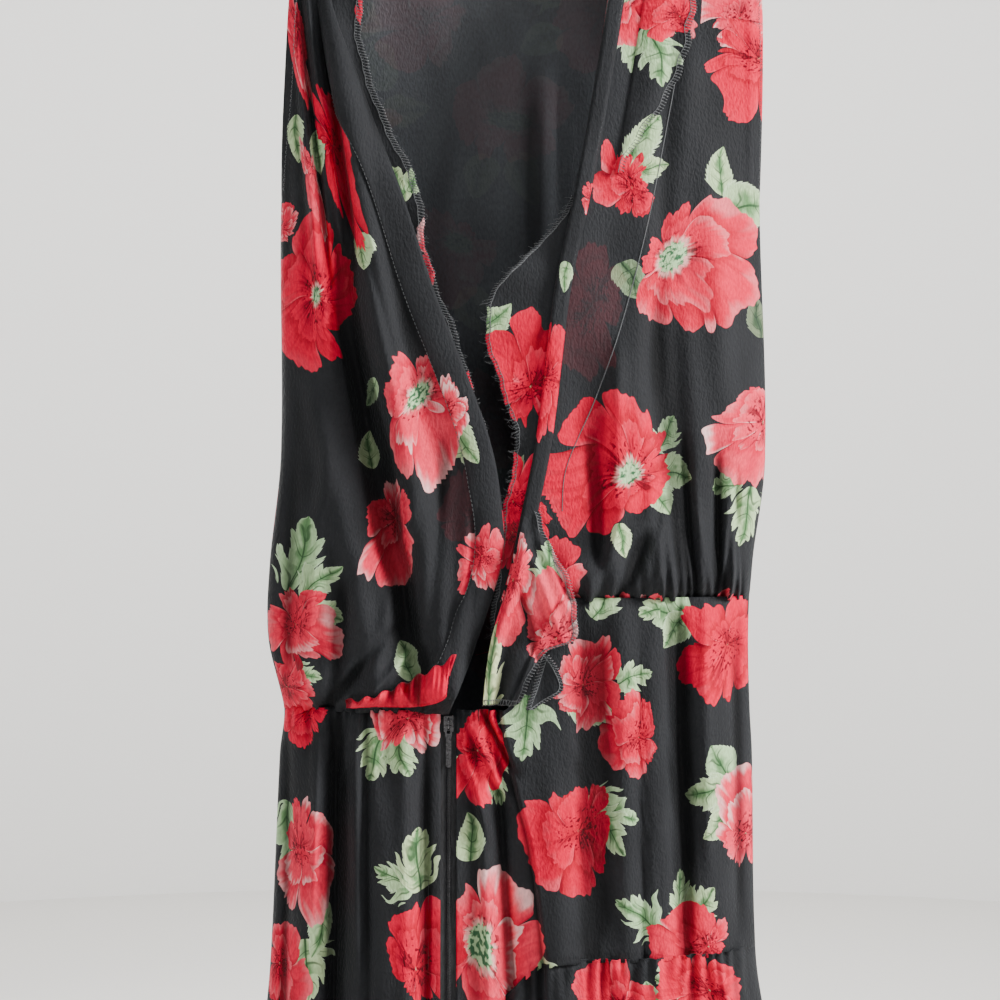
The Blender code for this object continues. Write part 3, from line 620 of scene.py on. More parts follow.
def painted_poppy():
    group, source, result = new_group("painted_poppy", ("Tone", "Heart"))
    n = Sums(group)
    x, y, seed = n.split(source["Square"])
    z = seed * 3.7
    sway = n.split(n.noise(n.join(x, y, z), 1.3, 0.0, output="Color"))
    x = x + sway[0] * 0.52 - 0.26
    y = y + sway[1] * 0.52 - 0.26
    wide = n.length(x, y)
    x = x + n.math("SINE", seed * 5.1) * 0.24
    y = y + n.math("COSINE", seed * 3.3) * 0.24
    r = n.length(x, y)
    far_out = n.math("MAXIMUM", r, 0.001)
    round_x, round_y = x / far_out, y / far_out
    angle = n.math("ARCTAN2", y, x)
    ring = n.join(round_x, round_y, z)
    ragged = n.noise(ring, 7.0, 1.0, 0.6) - 0.5
    bend = n.noise(ring, 1.2, 0.0) - 0.5

    def place_on(scale, depth, shift=0.0):
        """A place for noise that runs out along the petals."""
        return n.join(round_x * scale, round_y * scale, r * depth + z + shift)

    def petals(count, turn, foot, height, away):
        """A ring of broad petals: share across a petal, its own chance, and away over its reach."""
        phase = angle * (count / (2 * math.pi)) + seed * 0.41 + turn + bend * 1.9
        share = n.math("FRACT", phase)
        index = n.math("FLOORED_MODULO", n.math("FLOOR", phase), count)
        chance = n.math("FRACT", n.math("SINE", index * 7.13 + z) * 37.7)
        across = share * (1.0 - share) * 4.0
        lobe = n.math("POWER", n.math("MAXIMUM", across, 0.0), 0.42)
        notch = n.math("COSINE", share * 13.0 + chance * 9.0)
        reach = lobe * height + foot + (chance - 0.5) * 0.26 + ragged * 0.20 + notch * 0.026
        return share, chance, away / n.math("MAXIMUM", reach, 0.05)

    outer = petals(5, 0.0, 0.50, 0.33, wide)
    upper = petals(4, 0.35, 0.27, 0.27, r)
    streak = n.noise(place_on(9.0, 1.0), 1.0, 1.0, 0.6)
    broad = n.noise(place_on(1.7, 1.5, 5.0), 1.0, 0.0)
    patch = n.noise(place_on(2.6, 2.2, 9.0), 1.0, 1.0)

    tone = source["Tone"]
    bright = n.blend(tone, (0.84, 0.0, 0.046), (1.0, 0.070, 0.120))
    crimson = n.blend(tone, (0.48, 0.0, 0.020), (0.76, 0.003, 0.050))
    pale = n.blend(tone, (0.97, 0.10, 0.15), (1.0, 0.76, 0.73))
    worn = n.step(tone, 0.0, 0.6, 0.28, 1.0)
    dark = (0.060, 0.002, 0.006)

    def petal_colour(share, chance, out, light):
        soft = out + (streak - 0.5) * 0.50 + (patch - 0.5) * 0.55
        rim = n.step(soft, light, 1.06) * n.step(chance, 0.25, 0.70, 0.05, 1.0) * worn
        colour = n.blend(n.step(streak, 0.50, 0.70, 0.0, 0.42), bright, crimson)
        colour = n.blend(n.step(out, 0.55, 0.10, 0.0, 0.6), colour, crimson)
        colour = n.blend(rim * 0.95, colour, pale)
        past_heart = n.step(r, 0.14, 0.36)
        under = n.step(share, 0.24, 0.0) * past_heart
        colour = n.blend(under * 0.85, colour, crimson)
        line = n.step(share, 0.045, 0.015) * past_heart
        colour = n.blend(line * 0.55, colour, dark)
        lip = n.step(share, 0.88, 0.985) * n.step(out, 0.40, 0.75) * n.step(patch, 0.40, 0.56)
        return n.blend(lip * 0.8, colour, pale)

    colour = petal_colour(*outer, 0.74)
    colour = n.blend(n.step(upper[2], 1.35, 1.0, 0.0, 0.75), colour, crimson)
    colour = n.blend(n.step(upper[2], 1.02, 0.985), colour, petal_colour(*upper, 0.74))
    smudge = n.step(r, 0.46, 0.18) * n.step(broad, 0.50, 0.58, 0.0, 0.75)
    colour = n.blend(smudge * n.step(streak, 0.36, 0.60, 0.3, 1.0), colour, dark)
    dots = n.noise(n.join(x, y, z), 24.0, 0.0)
    stamens = n.step(r, 0.36, 0.26) * n.step(dots, 0.60, 0.66)
    colour = n.blend(stamens * 0.8, colour, dark)
    heart = (ragged * 0.14 + r) / n.math("MAXIMUM", source["Heart"], 0.01)
    halo = n.step(heart, 0.29, 0.21) * n.step(patch, 0.38, 0.52, 0.15, 0.9)
    colour = n.blend(halo, colour, (0.92, 0.46, 0.42))
    specks = n.noise(n.join(x, y, z), 19.0, 1.0)
    green = n.blend(n.step(specks, 0.40, 0.56), (0.050, 0.15, 0.070), (0.46, 0.70, 0.38))
    colour = n.blend(n.step(heart, 0.200, 0.175), colour, green)
    n.feed(result["Colour"], colour)
    n.feed(result["Shape"], n.step(outer[2], 1.0, 0.982))
    return group


POPPY = painted_poppy()
print(len(POPPY.nodes), "nodes in the poppy recipe")

# %% [markdown]
# ## A painted leaf
# A leaf lies along its own axis from 0 at the stalk to 1 at the tip. Its edge is a rounded blade that is
# cut into lobes, deeply or hardly at all, with saw teeth along them. A dark midrib runs along it, and a
# side vein slants into each lobe.

# %% the leaf recipe
def painted_leaf():
    group, source, result = new_group("painted_leaf", ("Tone",))
    n = Sums(group)
    x, y, seed = n.split(source["Square"])
    z = seed * 5.3
    place = n.join(x, y, z)
    y = y + (n.noise(place, 1.6, 0.0) - 0.5) * 0.34
    side = n.math("ABSOLUTE", y)
    drift = n.noise(place, 3.2, 0.0) - 0.5
    t = x + drift * 0.10
    left = n.math("MAXIMUM", 1.0 - t, 0.0)
    body = n.math("POWER", n.math("MAXIMUM", t, 0.0), 0.55) * n.math("POWER", left, 0.9)
    cut = n.step(n.math("FRACT", seed * 0.37), 0.25, 0.55, 0.06, 0.62)
    lean = t - side * 0.75
    lobe = n.math("FRACT", lean * 3.1 + seed * 0.3 + drift * 1.2)
    point = lobe * n.step(lobe, 1.0, 0.88)
    teeth = n.math("FRACT", lean * 9.0)
    reach = body * (point * cut * 1.25 - cut * 0.62 + 0.88) + teeth * body * 0.10
    ends = n.step(t, 0.0, 0.01) * n.step(left, 0.0, 0.01)
    shape = n.step(reach - side, -0.002, 0.008) * ends

    light = n.blend(source["Tone"], (0.40, 0.62, 0.34), (0.70, 0.77, 0.42))
    middle = (0.13, 0.27, 0.11)
    deep = (0.030, 0.080, 0.032)
    mottle = n.noise(place, 4.5, 1.0)
    out = side / n.math("MAXIMUM", reach, 0.02)
    colour = n.blend(n.step(mottle * 1.1 + out, 0.52, 1.04), middle, light)
    vein = n.step(n.math("ABSOLUTE", lobe - 0.60), 0.085, 0.025) * n.step(out, 0.95, 0.30)
    shade = n.step(lobe, 0.60, 0.95) * n.step(out, 0.9, 0.1, 0.0, 0.55)
    colour = n.blend(shade, colour, middle)
    colour = n.blend(vein * 0.75, colour, deep)
    colour = n.blend(n.step(out, 0.86, 0.97) * 0.55, colour, (0.66, 0.80, 0.60))
    rib = n.step(side, 0.020, 0.007) * n.step(t, 0.95, 0.60, 0.2, 0.9)
    colour = n.blend(rib, colour, deep)
    n.feed(result["Colour"], colour)
    n.feed(result["Shape"], shape)
    return group


LEAF = painted_leaf()
print(len(LEAF.nodes), "nodes in the leaf recipe")

# %% [markdown]
# ## The chiffon
# Black crinkle chiffon is matt, with a faint sheen where light grazes it. The print lies in four
# layers that a panel stores for each face: two of leaves under two of blossoms. Each layer holds the
# place inside its motif's square, and a second value holds the tone, the strength and how far the heart
# shows. The cloth's own grain is a fine, mostly upright crinkle with a slow drift in tone, and a painted
# highlight makes its raised ridges lighter. Painted shade darkens its colour in the valleys between
# folds.
# The wrong side shows the same print, but faint, on a ground that is painted lighter as light for the
# inside of the dress.

# %% chiffon finishes
LAYERS = (("leaf_a", LEAF), ("leaf_b", LEAF), ("blossom_a", POPPY), ("blossom_b", POPPY))
# Shares of the ground colour: crinkle ridges lit by a painted highlight, doubled cloth, and the painted
# shade in fold valleys.
LIT_SHARE, DOUBLED_SHARE, VALLEY_SHADE_SHARE = 3.0, 3.2, 0.12


def chiffon(name, print_strength, ground):
    finish, n, shader = new_finish(name, {
        "Sheen Weight": 0.05, "Sheen Roughness": 0.45, "Sheen Tint": (0.75, 0.80, 0.85, 1.0),
        "Specular IOR Level": 0.09})
    across, height, _ = n.split(n.stored("grain"))
    crinkle_place = n.join(across, height * 0.45)
    crinkle = n.noise(crinkle_place, 640.0, 1.0, 0.6)
    drift = n.noise(crinkle_place, 60.0, 0.0)
    # Painted highlight: the crinkle's raised ridges, which are also its bump, are painted up to three
    # times lighter than the ground; a slow drift of tone, which the cloth has, is mixed in.
    lit, twice, deep = (tuple(v * share for v in ground)
                        for share in (LIT_SHARE, DOUBLED_SHARE, VALLEY_SHADE_SHARE))
    colour = n.blend(n.math("ADD", crinkle * 0.55, drift * 0.35, clamp=True), ground, lit)
    colour = n.blend(n.stored("doubled", "Fac") * 0.35, colour, twice)
    for layer, recipe in LAYERS:
        look = n.split(n.stored(layer + "_look"))
        motif = n.put("ShaderNodeGroup", node_tree=recipe)
        n.feed(motif.inputs["Square"], n.stored(layer))
        n.feed(motif.inputs["Tone"], look[0])
        if "Heart" in motif.inputs:
            n.feed(motif.inputs["Heart"], look[2])
        share = look[1] * print_strength * motif.outputs["Shape"]
        thread = n.blend(n.step(crinkle, 0.30, 0.70, 0.0, 0.16), motif.outputs["Colour"], ground)
        colour = n.blend(share, colour, thread)
    # Painted shade: the colour darkens towards 0.12 of the ground in the valleys between folds.
    colour = n.blend(n.stored("valley_shade", "Fac") * 0.72, colour, deep)
    n.feed(shader.inputs["Base Color"], colour)
    n.feed(shader.inputs["Roughness"], n.step(crinkle, 0.2, 0.8, 0.62, 0.80))
    relief(n, shader, crinkle, 0.9, 0.00075)
    return finish


CHIFFON = chiffon("floral_chiffon_face", 1.0, linear(28, 29, 31))
# The wrong side's ground is painted lighter than the face's: painted light for the inside of the dress,
# which the lamps hardly reach.
CHIFFON_BACK = chiffon("floral_chiffon_wrong_side", 0.018, linear(47, 49, 52))
print("chiffon:", len(CHIFFON.node_tree.nodes), "nodes")

# %% [markdown]
# ## Motifs
# The placement is a list of blossoms and leaves for each side: where the middle of a blossom or the
# stalk of a leaf lies, its size, its turn, its tone and its layer. Tone runs from scarlet to pink for a
# blossom and from cool to creamy green for a leaf. A squashed or leaning motif lies across a fold. A
# heart of 1 is an open blossom with its green middle, and 0 a closed one. A ghost is a motif of low
# strength, which is what a second layer of sheer cloth shows. Places and sizes are in millimetres.

# %% motif placement
Motif = namedtuple("Motif", "kind x z size turn tone squash strength lean heart",
                   defaults=(1.0, 1.0, 0.0, 0.0))


def placed(rows):
    """Motifs from rows of kind, x, z, size, turn, tone and any of the other columns."""
    return [Motif(kind, x / 1000, z / 1000, size / 1000, *rest) for kind, x, z, size, *rest in rows]


BODICE_MOTIFS = placed([
    # left bodice
    ("blossom_a", -108.5, -240, 66, 0, 0.0, 0.26, 1.0, 0.31),
    ("blossom_b", -136, -160, 56, 0, 0.5, 0.18, 1.0, 0.20),
    ("blossom_b", -127.5, -250, 40, 0, 0.9, 0.20, 1.0, 0.26),
    ("leaf_b", -138, -205, 30, 275, 0.4, 0.6),
    ("leaf_a", -126, -215, 30, 285, 0.2, 0.5),
    ("blossom_a", -128, -318, 56, 70, 0.0, 0.72, 1.0, 0.0, 0.55),
    ("blossom_b", -60, -388, 52, -25, 0.72, 0.72, 1.0, 0.0, 0.9),
    ("blossom_a", -76, -466, 45, 40, 0.55, 0.62),
    ("blossom_b", -137, -530, 34, 10, 0.45),
    ("blossom_a", -144, -572, 25, 60, 0.20),
    ("blossom_b", -150, -268, 18, 10, 0.40),
    ("leaf_b", -96, -281, 24, 268, 0.3),
    ("leaf_a", -39, -400, 32, 292, 0.4),
    ("leaf_b", -40, -398, 26, 330, 0.3),
    ("leaf_a", -87, -372, 22, 225, 0.2),
    ("leaf_b", -92, -428, 24, 95, 0.4),
    ("leaf_a", -144, -505, 48, 76, 0.1),
    ("leaf_b", -135, -510, 34, 40, 0.2),
    ("leaf_a", -129, -515, 24, 338, 0.3),
    ("leaf_b", -140, -556, 22, 350, 0.2),
    ("leaf_b", -64, -560, 26, 108, 0.3),
    ("blossom_a", -20, -488, 28, 30, 0.50, 0.8),
    ("blossom_b", -29, -455, 34, 0, 0.1, 0.7, 0.04),
    # right bodice
    ("blossom_a", 115, -302, 53, 30, 0.26, 1.0, 1.0, 0.0, 1.0),
    ("blossom_b", 56, -427, 54, 80, 0.0, 1.0, 1.0, 0.0, 0.65),
    ("blossom_a", 152, -410, 38, 15, 0.80),
    ("blossom_b", 150, -178, 38, 60, 0.02),
    ("blossom_a", 143, -140, 31, 20, 0.75),
    ("blossom_a", 82, -132, 43, 200, 0.30, 1.0, 1.0, 0.0, 0.9),
    ("blossom_b", 66, -250, 29, 120, 0.12, 0.8),
    ("blossom_a", 24, -498, 36, 120, 0.30, 0.75),
    ("blossom_b", 8, -460, 27, 20, 0.15, 0.8),
    ("blossom_b", 44, -330, 52, 0, 0.1, 0.6, 0.045),
    ("leaf_a", 128, -256, 30, 85, 0.3),
    ("leaf_b", 130, -265, 40, 15, 0.2),
    ("leaf_a", 78, -150, 40, 285, 0.1),
    ("leaf_b", 72, -235, 34, 60, 0.2),
    ("leaf_a", 70, -245, 28, 15, 0.4),
    ("leaf_b", 88, -418, 26, 60, 0.1),
    ("leaf_a", 89, -428, 26, 345, 0.2),
    ("leaf_b", 82, -430, 32, 300, 0.2),
    ("leaf_a", 66, -462, 22, 275, 0.5),
    ("leaf_b", 146, -436, 24, 190, 0.2),
    ("leaf_a", 152, -440, 38, 262, 0.3),
    ("leaf_b", 156, -345, 28, 95, 0.4, 1.0, 0.30),
    ("leaf_a", 66, -300, 26, 300, 0.2, 1.0, 0.5),
    # tips of motifs caught in the waist seam
    ("blossom_a", 64, -520, 22, 0, 0.75),
    ("blossom_b", 86, -519, 18, 50, 0.85),
    ("blossom_a", 131, -520, 18, 90, 0.20),
])
SKIRT_MOTIFS = placed([
    # left of the zip
    ("blossom_a", -137, -585, 25, 50, 0.0, 0.9),
    ("blossom_b", -69, -577, 34, 50, 0.65, 0.9),
    ("blossom_a", -131, -668, 45, 95, 0.55, 0.62),
    ("blossom_b", -58, -728, 43, 15, 0.0, 0.80),
    ("blossom_a", -146, -745, 34, 45, 0.20, 0.7),
    ("leaf_a", -80, -590, 36, 250, 0.3),
    ("leaf_b", -74, -592, 30, 285, 0.2),
    ("leaf_a", -144, -640, 46, 268, 0.1, 0.8),
    ("leaf_b", -120, -700, 34, 262, 0.3, 0.8),
    ("leaf_a", -132, -722, 40, 280, 0.4),
    ("leaf_b", -58, -690, 40, 100, 0.5, 0.9),
    ("leaf_a", -62, -688, 30, 150, 0.2),
    # right of the zip
    ("blossom_a", -19, -604, 40, 140, 0.04, 0.62),
    ("blossom_b", 33, -660, 43, 75, 0.0, 0.85),
    ("blossom_a", -16, -725, 56, 100, 0.75, 0.85, 1.0, 0.0, 1.0),
    ("blossom_b", 128, -540, 48, 120, 0.0),
    ("blossom_a", 48, -562, 36, 300, 0.42, 0.8),
    ("blossom_a", 72, -592, 31, 240, 0.20, 0.8),
    ("blossom_b", 150, -650, 40, 15, 0.70),
    ("blossom_a", 106, -724, 36, 190, 0.25, 1.0, 1.0, 0.0, 0.0),
    ("leaf_a", -16, -612, 30, 300, 0.2),
    ("leaf_b", -20, -610, 26, 200, 0.2),
    ("leaf_a", 43, -636, 36, 345, 0.1),
    ("leaf_b", 47, -640, 34, 310, 0.2),
    ("leaf_a", 10, -570, 40, 262, 0.1),
    ("leaf_b", 30, -566, 44, 332, 0.2),
    ("leaf_a", 48, -522, 30, 60, 0.2),
    ("leaf_b", 62, -562, 26, 20, 0.2),
    ("leaf_a", 111, -517, 34, 182, 0.1),
    ("leaf_b", 109, -520, 26, 228, 0.2),
    ("leaf_a", 96, -512, 22, 200, 0.2),
    ("leaf_a", 140, -628, 34, 130, 0.1),
    ("leaf_b", 138, -632, 36, 178, 0.3),
    ("leaf_a", 140, -640, 34, 215, 0.4),
    ("leaf_b", 92, -712, 36, 150, 0.1),
    ("leaf_a", 104, -708, 30, 95, 0.2),
    ("leaf_b", 106, -712, 30, 45, 0.3),
    ("leaf_a", 10, -730, 36, 290, 0.5),
    ("leaf_b", -27, -672, 30, 100, 0.4),
])
HEM_MOTIFS = placed([
    ("blossom_a", 20, -372, 44, 95, 0.0, 0.55),
    ("leaf_a", 32, -300, 20, 260, 0.2, 0.6),
    ("blossom_b", 50, -262, 18, 10, 0.4, 0.7),
    ("blossom_b", 1, -505, 30, 100, 0.85, 0.4),
    ("leaf_b", -12, -540, 44, 262, 0.9, 0.5),
    ("blossom_a", -42, -395, 24, 10, 0.9, 0.7),
    ("leaf_a", -38, -402, 28, 300, 0.3),
    ("blossom_b", -18, -484, 26, 30, 0.5, 0.8),
])
print(len(BODICE_MOTIFS) + len(SKIRT_MOTIFS) + len(HEM_MOTIFS), "motifs placed by hand on the near side")


# %% scattered motifs for the sides that are not seen here
def scattered(seed, left, right, top, foot, spacing=0.108):
    """A loose half-drop repeat of blossoms with two or three leaves each, shifted at random."""
    rng = np.random.default_rng(seed)
    made = []
    row = 0
    z = top
    while z > foot:
        x = left + (spacing / 2 if row % 2 else 0.0)
        while x < right:
            middle_x, middle_z = x + rng.uniform(-0.014, 0.014), z + rng.uniform(-0.014, 0.014)
            size = rng.uniform(0.034, 0.046)
            layer = "blossom_a" if (row + round(x / spacing)) % 2 else "blossom_b"
            tone = rng.uniform(0.0, 0.25) if rng.random() < 0.6 else rng.uniform(0.55, 0.95)
            made.append(Motif(layer, middle_x, middle_z, size, rng.uniform(0, 360), tone,
                              heart=float(size > 0.040)))
            heading = rng.uniform(0, 360)
            for k in range(int(rng.integers(2, 4))):
                turn = heading + 42 * k + rng.uniform(-8, 8)
                reach = size * 0.62
                made.append(Motif("leaf_a" if k % 2 else "leaf_b",
                                  middle_x + reach * math.cos(math.radians(turn)),
                                  middle_z + reach * math.sin(math.radians(turn)),
                                  rng.uniform(0.026, 0.038), turn, rng.uniform(0.0, 0.6)))
            x += spacing
        z -= spacing * 0.80
        row += 1
    return made


TIER_MOTIFS = placed([
    ("blossom_a", 114, -752, 36, 10, 0.05),
    ("blossom_b", 64, -758, 34, 250, 0.10),
    ("leaf_a", 86, -742, 30, 330, 0.2),
]) + scattered(41, -0.24, 0.25, -0.815, -1.62)
FAR_MOTIFS = scattered(43, -0.17, 0.18, -0.12, -0.84)
FAR_TIER_MOTIFS = scattered(47, -0.25, 0.25, -0.80, -1.62)
print(len(TIER_MOTIFS) + len(FAR_MOTIFS) + len(FAR_TIER_MOTIFS), "more, mostly scattered")

# %% [markdown]
# ## From rows of points to a piece of cloth
# A cut piece is a grid of points, row by row from its top edge. The grid comes from one bmesh operator
# and each vertex moves to its point. A Solidify modifier gives it a wall, with the wrong side's finish
# on the inner faces. The print has to follow the cloth and not the room, so each vertex also keeps its
# place on the cloth: the distance along its row, and its height.

# %% cloth helpers
CLOTH = 0.0005
# How wide a stretch a valley is measured against, and how deep it is when the painted shade is full.
VALLEY_SHADE_REACH, VALLEY_SHADE_DEPTH = 0.013, 0.0026


def grid_of(rows):
    """Rows of points as one array."""
    return np.array([[tuple(point) for point in row] for row in rows])


def falling(top, bottom, count, ease=1.15):
    """Heights from top to bottom, closer together at the top."""
    return [top + (bottom - top) * (k / (count - 1)) ** ease for k in range(count)]


def crossing(column, line):
    """Height at which a column of the cloth meets a seam line."""
    z = line(0.0)
    for _ in range(6):
        z = line(column(z))
    return z


def rows_between(columns, top, bottom, point, count):
    """Rows of a panel between two seam lines, which it just passes. Each column gives x at a height."""
    ends = [(crossing(column, top) + SEAM_TUCK, crossing(column, bottom) - SEAM_TUCK)
            for column in columns]
    rows = []
    for t in spread(0.0, 1.0, count):
        heights = [start + (end - start) * t for start, end in ends]
        rows.append([point(column(z), z) for column, z in zip(columns, heights)])
    return rows


def at_share(share):
    """A column that keeps its share of the dress's width."""
    return lambda z: across_at(share, z)


def on_cloth(points, reference):
    """Place on the cloth of each grid point: distance along the row from one column, and height."""
    steps = np.diff(points, axis=1)
    lengths = np.hypot(steps[..., 0], 0.6 * steps[..., 1]) * np.sign(points[0, -1, 0] - points[0, 0, 0])
    run = np.concatenate([np.zeros((len(points), 1)), np.cumsum(lengths, axis=1)], axis=1)
    run += (points[:, reference, 0] - run[:, reference])[:, None]
    return np.stack([run, points[..., 2]], axis=-1).reshape(-1, 2)


def valley_shade_of(points, outward):
    """How deep each grid point lies in a fold's valley, 0 to 1, against its neighbours in the row: the
    amount of painted shade there.
    """
    out = points[..., 1] * -outward
    spacing = np.abs(np.diff(points[..., 0], axis=1)).mean()
    reach = max(2, int(round(VALLEY_SHADE_REACH / max(spacing, 0.0004))))
    wide = np.pad(out, ((0, 0), (reach, reach)), mode="edge")
    total = np.cumsum(np.pad(wide, ((0, 0), (1, 0))), axis=1)
    mean = (total[:, 2 * reach + 1:] - total[:, :-2 * reach - 1]) / (2 * reach + 1)
    return np.clip((out - mean) / VALLEY_SHADE_DEPTH - 0.10, 0.0, 1.0)


def in_square(motif, off):
    """Places off a motif's origin on the cloth, as x and y in the motif's own square."""
    turn = math.radians(motif.turn)
    across = np.array([math.cos(turn) / motif.squash, math.sin(turn)]) / motif.size
    upward = np.array([-math.sin(turn) / motif.squash, math.cos(turn)]) / motif.size
    leaning = off + motif.lean * off[:, 1:] * [1.0, 0.0]
    return leaning @ across, leaning @ upward


def print_motifs(mesh, places, points, motifs):
    """Stores, for each corner of each face, where it lies in the nearest motif of every layer."""
    corner = np.empty(len(mesh.loops), dtype=np.int32)
    mesh.loops.foreach_get("vertex_index", corner)
    corners = places[corner]
    middles = corners.reshape(-1, 4, 2).mean(axis=1)
    flat = points.reshape(-1, 3)
    for layer, _ in LAYERS:
        square = np.full((len(corners), 3), 9.0, dtype=np.float32)
        look = np.zeros((len(corners), 3), dtype=np.float32)
        nearest = np.full(len(middles), np.inf)
        for index, motif in enumerate(motifs):
            if motif.kind != layer:
                continue
            close = np.argmin((flat[:, 0] - motif.x) ** 2 + (flat[:, 2] - motif.z) ** 2)
            origin = places[close] + [motif.x - flat[close, 0], motif.z - flat[close, 2]]
            middle_x, reach = (0.5, 0.8) if layer.startswith("leaf") else (0.0, 1.4)
            x, y = in_square(motif, middles - origin)
            away = np.hypot(x - middle_x, y) / reach
            owned = (away < 1.0) & (away < nearest)
            nearest[owned] = away[owned]
            mine = np.repeat(owned, 4)
            x, y = in_square(motif, corners[mine] - origin)
            seed = (index * 2.399 + motif.x * 31.0) % 10.0
            square[mine] = np.stack([x, y, np.full(len(x), seed)], axis=-1)
            look[mine] = (motif.tone, motif.strength, motif.heart)
        for name, values in ((layer, square), (layer + "_look", look)):
            stored = mesh.attributes.new(name, "FLOAT_VECTOR", "CORNER")
            stored.data.foreach_set("vector", values.ravel())


def hang(name, data):
    """A new piece that hangs with the dress."""
    piece = bpy.data.objects.new(name, data)
    bpy.context.scene.collection.objects.link(piece)
    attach(piece, "dress")
    return piece


def cloth(name, node, rows, motifs, outward=-1, reference=None):
    """A piece of cloth through rows of points. outward is -1 where it faces -Y, 1 where +Y."""
    points = grid_of(rows)
    columns = points.shape[1]
    mesh = bpy.data.meshes.new(name)
    sheet = bmesh.new()
    bmesh.ops.create_grid(sheet, x_segments=columns - 1, y_segments=len(rows) - 1, size=1.0)
    sheet.verts.ensure_lookup_table()
    for vert, point in zip(sheet.verts, points.reshape(-1, 3)):
        vert.co = point
    sheet.normal_update()
    if sum(face.normal.y * face.calc_area() for face in sheet.faces) * outward < 0:
        bmesh.ops.reverse_faces(sheet, faces=sheet.faces)
    area = sum(face.calc_area() for face in sheet.faces)
    sheet.to_mesh(mesh)
    sheet.free()
    mesh.shade_smooth()
    places = on_cloth(points, columns // 2 if reference is None else reference)
    grain = mesh.attributes.new("grain", "FLOAT_VECTOR", "POINT")
    grain.data.foreach_set("vector", np.pad(places, ((0, 0), (0, 1))).astype(np.float32).ravel())
    # Painted shade: how deep each point lies in a fold's valley, kept for the finish to darken it.
    deep = mesh.attributes.new("valley_shade", "FLOAT", "POINT")
    deep.data.foreach_set("value", valley_shade_of(points, outward).astype(np.float32).ravel())
    print_motifs(mesh, places, points, motifs)
    mesh.materials.append(CHIFFON)
    mesh.materials.append(CHIFFON_BACK)
    piece = hang(name, mesh)
    shell = piece.modifiers.new("wall", "SOLIDIFY")
    shell.thickness = CLOTH
    shell.offset = -1.0
    shell.material_offset = 1
    if node:
        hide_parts(node)
    print(f"{name}: {len(mesh.polygons)} faces, {area:.4f} square metres")
    return piece


def moved_out(rows, distance_at):
    """The same grid moved along its own normals, by a distance worked out from its row and column."""
    points = grid_of(rows)
    down = np.gradient(points, axis=0)
    across = np.gradient(points, axis=1)
    normals = np.cross(across, down)
    normals /= np.linalg.norm(normals, axis=-1, keepdims=True)
    normals *= np.where(normals[..., 1:2] > 0, -1.0, 1.0)
    reach = np.array([[distance_at(i, j) for j in range(points.shape[1])] for i in range(len(points))])
    return points + normals * reach[..., None]


print("cloth walls are", CLOTH * 1000, "mm")

# %% [markdown]
# ## The bodice with the V
# Two panels hang from the shoulders and meet low at the V's point. The left one bunches into long folds
# on its shoulder and blouses over the waist; the right one lies smooth and is gathered into its seam.
# The grid's first columns keep a hem's width from the V edge, so that the hem can lie on them.

# %% bodice panels
HEM_COLUMNS = 14
BAND_COLUMNS = 8
PANEL_TOP_Z = -0.092


def panel_rows(side, heights, columns):
    """Rows of a bodice panel; side is 1 for the left and 2 for the right, as in the tables."""
    inward = -1 if side == 1 else 1
    rows = []
    for height in heights:
        v_edge = along(V_EDGES, height, side)
        side_edge = along(OUTLINE, height, side)
        hem = min(V_HEM, abs(side_edge - v_edge) * 0.34)
        span = (height - heights[-1]) / (heights[0] - heights[-1])
        row = []
        for k in range(columns):
            if k < HEM_COLUMNS:
                x = v_edge + inward * hem * k / (HEM_COLUMNS - 1)
            else:
                turn = math.sin(math.pi / 2 * (k - HEM_COLUMNS + 1) / (columns - HEM_COLUMNS))
                x = v_edge + inward * hem + (side_edge - v_edge - inward * hem) * turn
            top = shoulder_z(x)
            foot = (waist_near_z(x) if side == 1 else WAIST_RIGHT_Z) - SEAM_TUCK
            row.append(near_bodice(x, foot + (top - foot) * span))
        rows.append(row)
    return rows


left_rows = panel_rows(1, falling(PANEL_TOP_Z, WAIST_LEFT_Z, 210), 130)
right_rows = panel_rows(2, falling(PANEL_TOP_Z, WAIST_RIGHT_Z, 190), 150)
bodice_near_left = cloth("bodice_near_left_cloth", "bodice_near_left", left_rows,
                         BODICE_MOTIFS, reference=40)
bodice_near_right = cloth("bodice_near_right_cloth", "bodice_near_right", right_rows,
                          BODICE_MOTIFS, reference=50)

FACING_LINE = ((-0.090, 0.1150), (-0.138, 0.1085), (-0.262, 0.0856), (-0.336, 0.0670), (-0.386, 0.0496),
               (-0.429, 0.0316), (-0.460, 0.0290))
doubled = bodice_near_right.data.attributes.new("doubled", "FLOAT", "POINT")
for vert, value in zip(bodice_near_right.data.vertices, doubled.data):
    line_x = along(FACING_LINE, vert.co.z, 1)
    value.value = smooth(line_x, line_x - 0.0012, vert.co.x) * smooth(-0.470, -0.440, vert.co.z)


def facing_line(z):
    """The facing's cut edge, which shows through the cloth as a fine ridge."""
    return near_bodice(along(FACING_LINE, z, 1), z) - Vector((0.0, 0.0001, 0.0))


def far_top_z(x):
    """Top edge of the far bodice: the shoulder seams, and a high neckline between them."""
    neck = smooth(-0.116, -0.090, x) * smooth(0.075, 0.045, x)
    return shoulder_z(x) + (FAR_NECK_Z - shoulder_z(x)) * neck


far_columns = [at_share(share) for share in angled(-1.0, 1.0, 130)]
far_rows = rows_between(far_columns, far_top_z, waist_far_z, far_bodice, 120)
bodice_far = cloth("bodice_far_cloth", "bodice_far", far_rows, FAR_MOTIFS, outward=1)

# %% [markdown]
# ## The hems and facings of the V
# Each V edge is turned under and stitched. On the left the turned cloth has rolled over into a soft
# tube; on the right it lies flat. Behind the edges hang narrow facings whose cut edges are overlocked,
# and which slip into view where the V gapes.

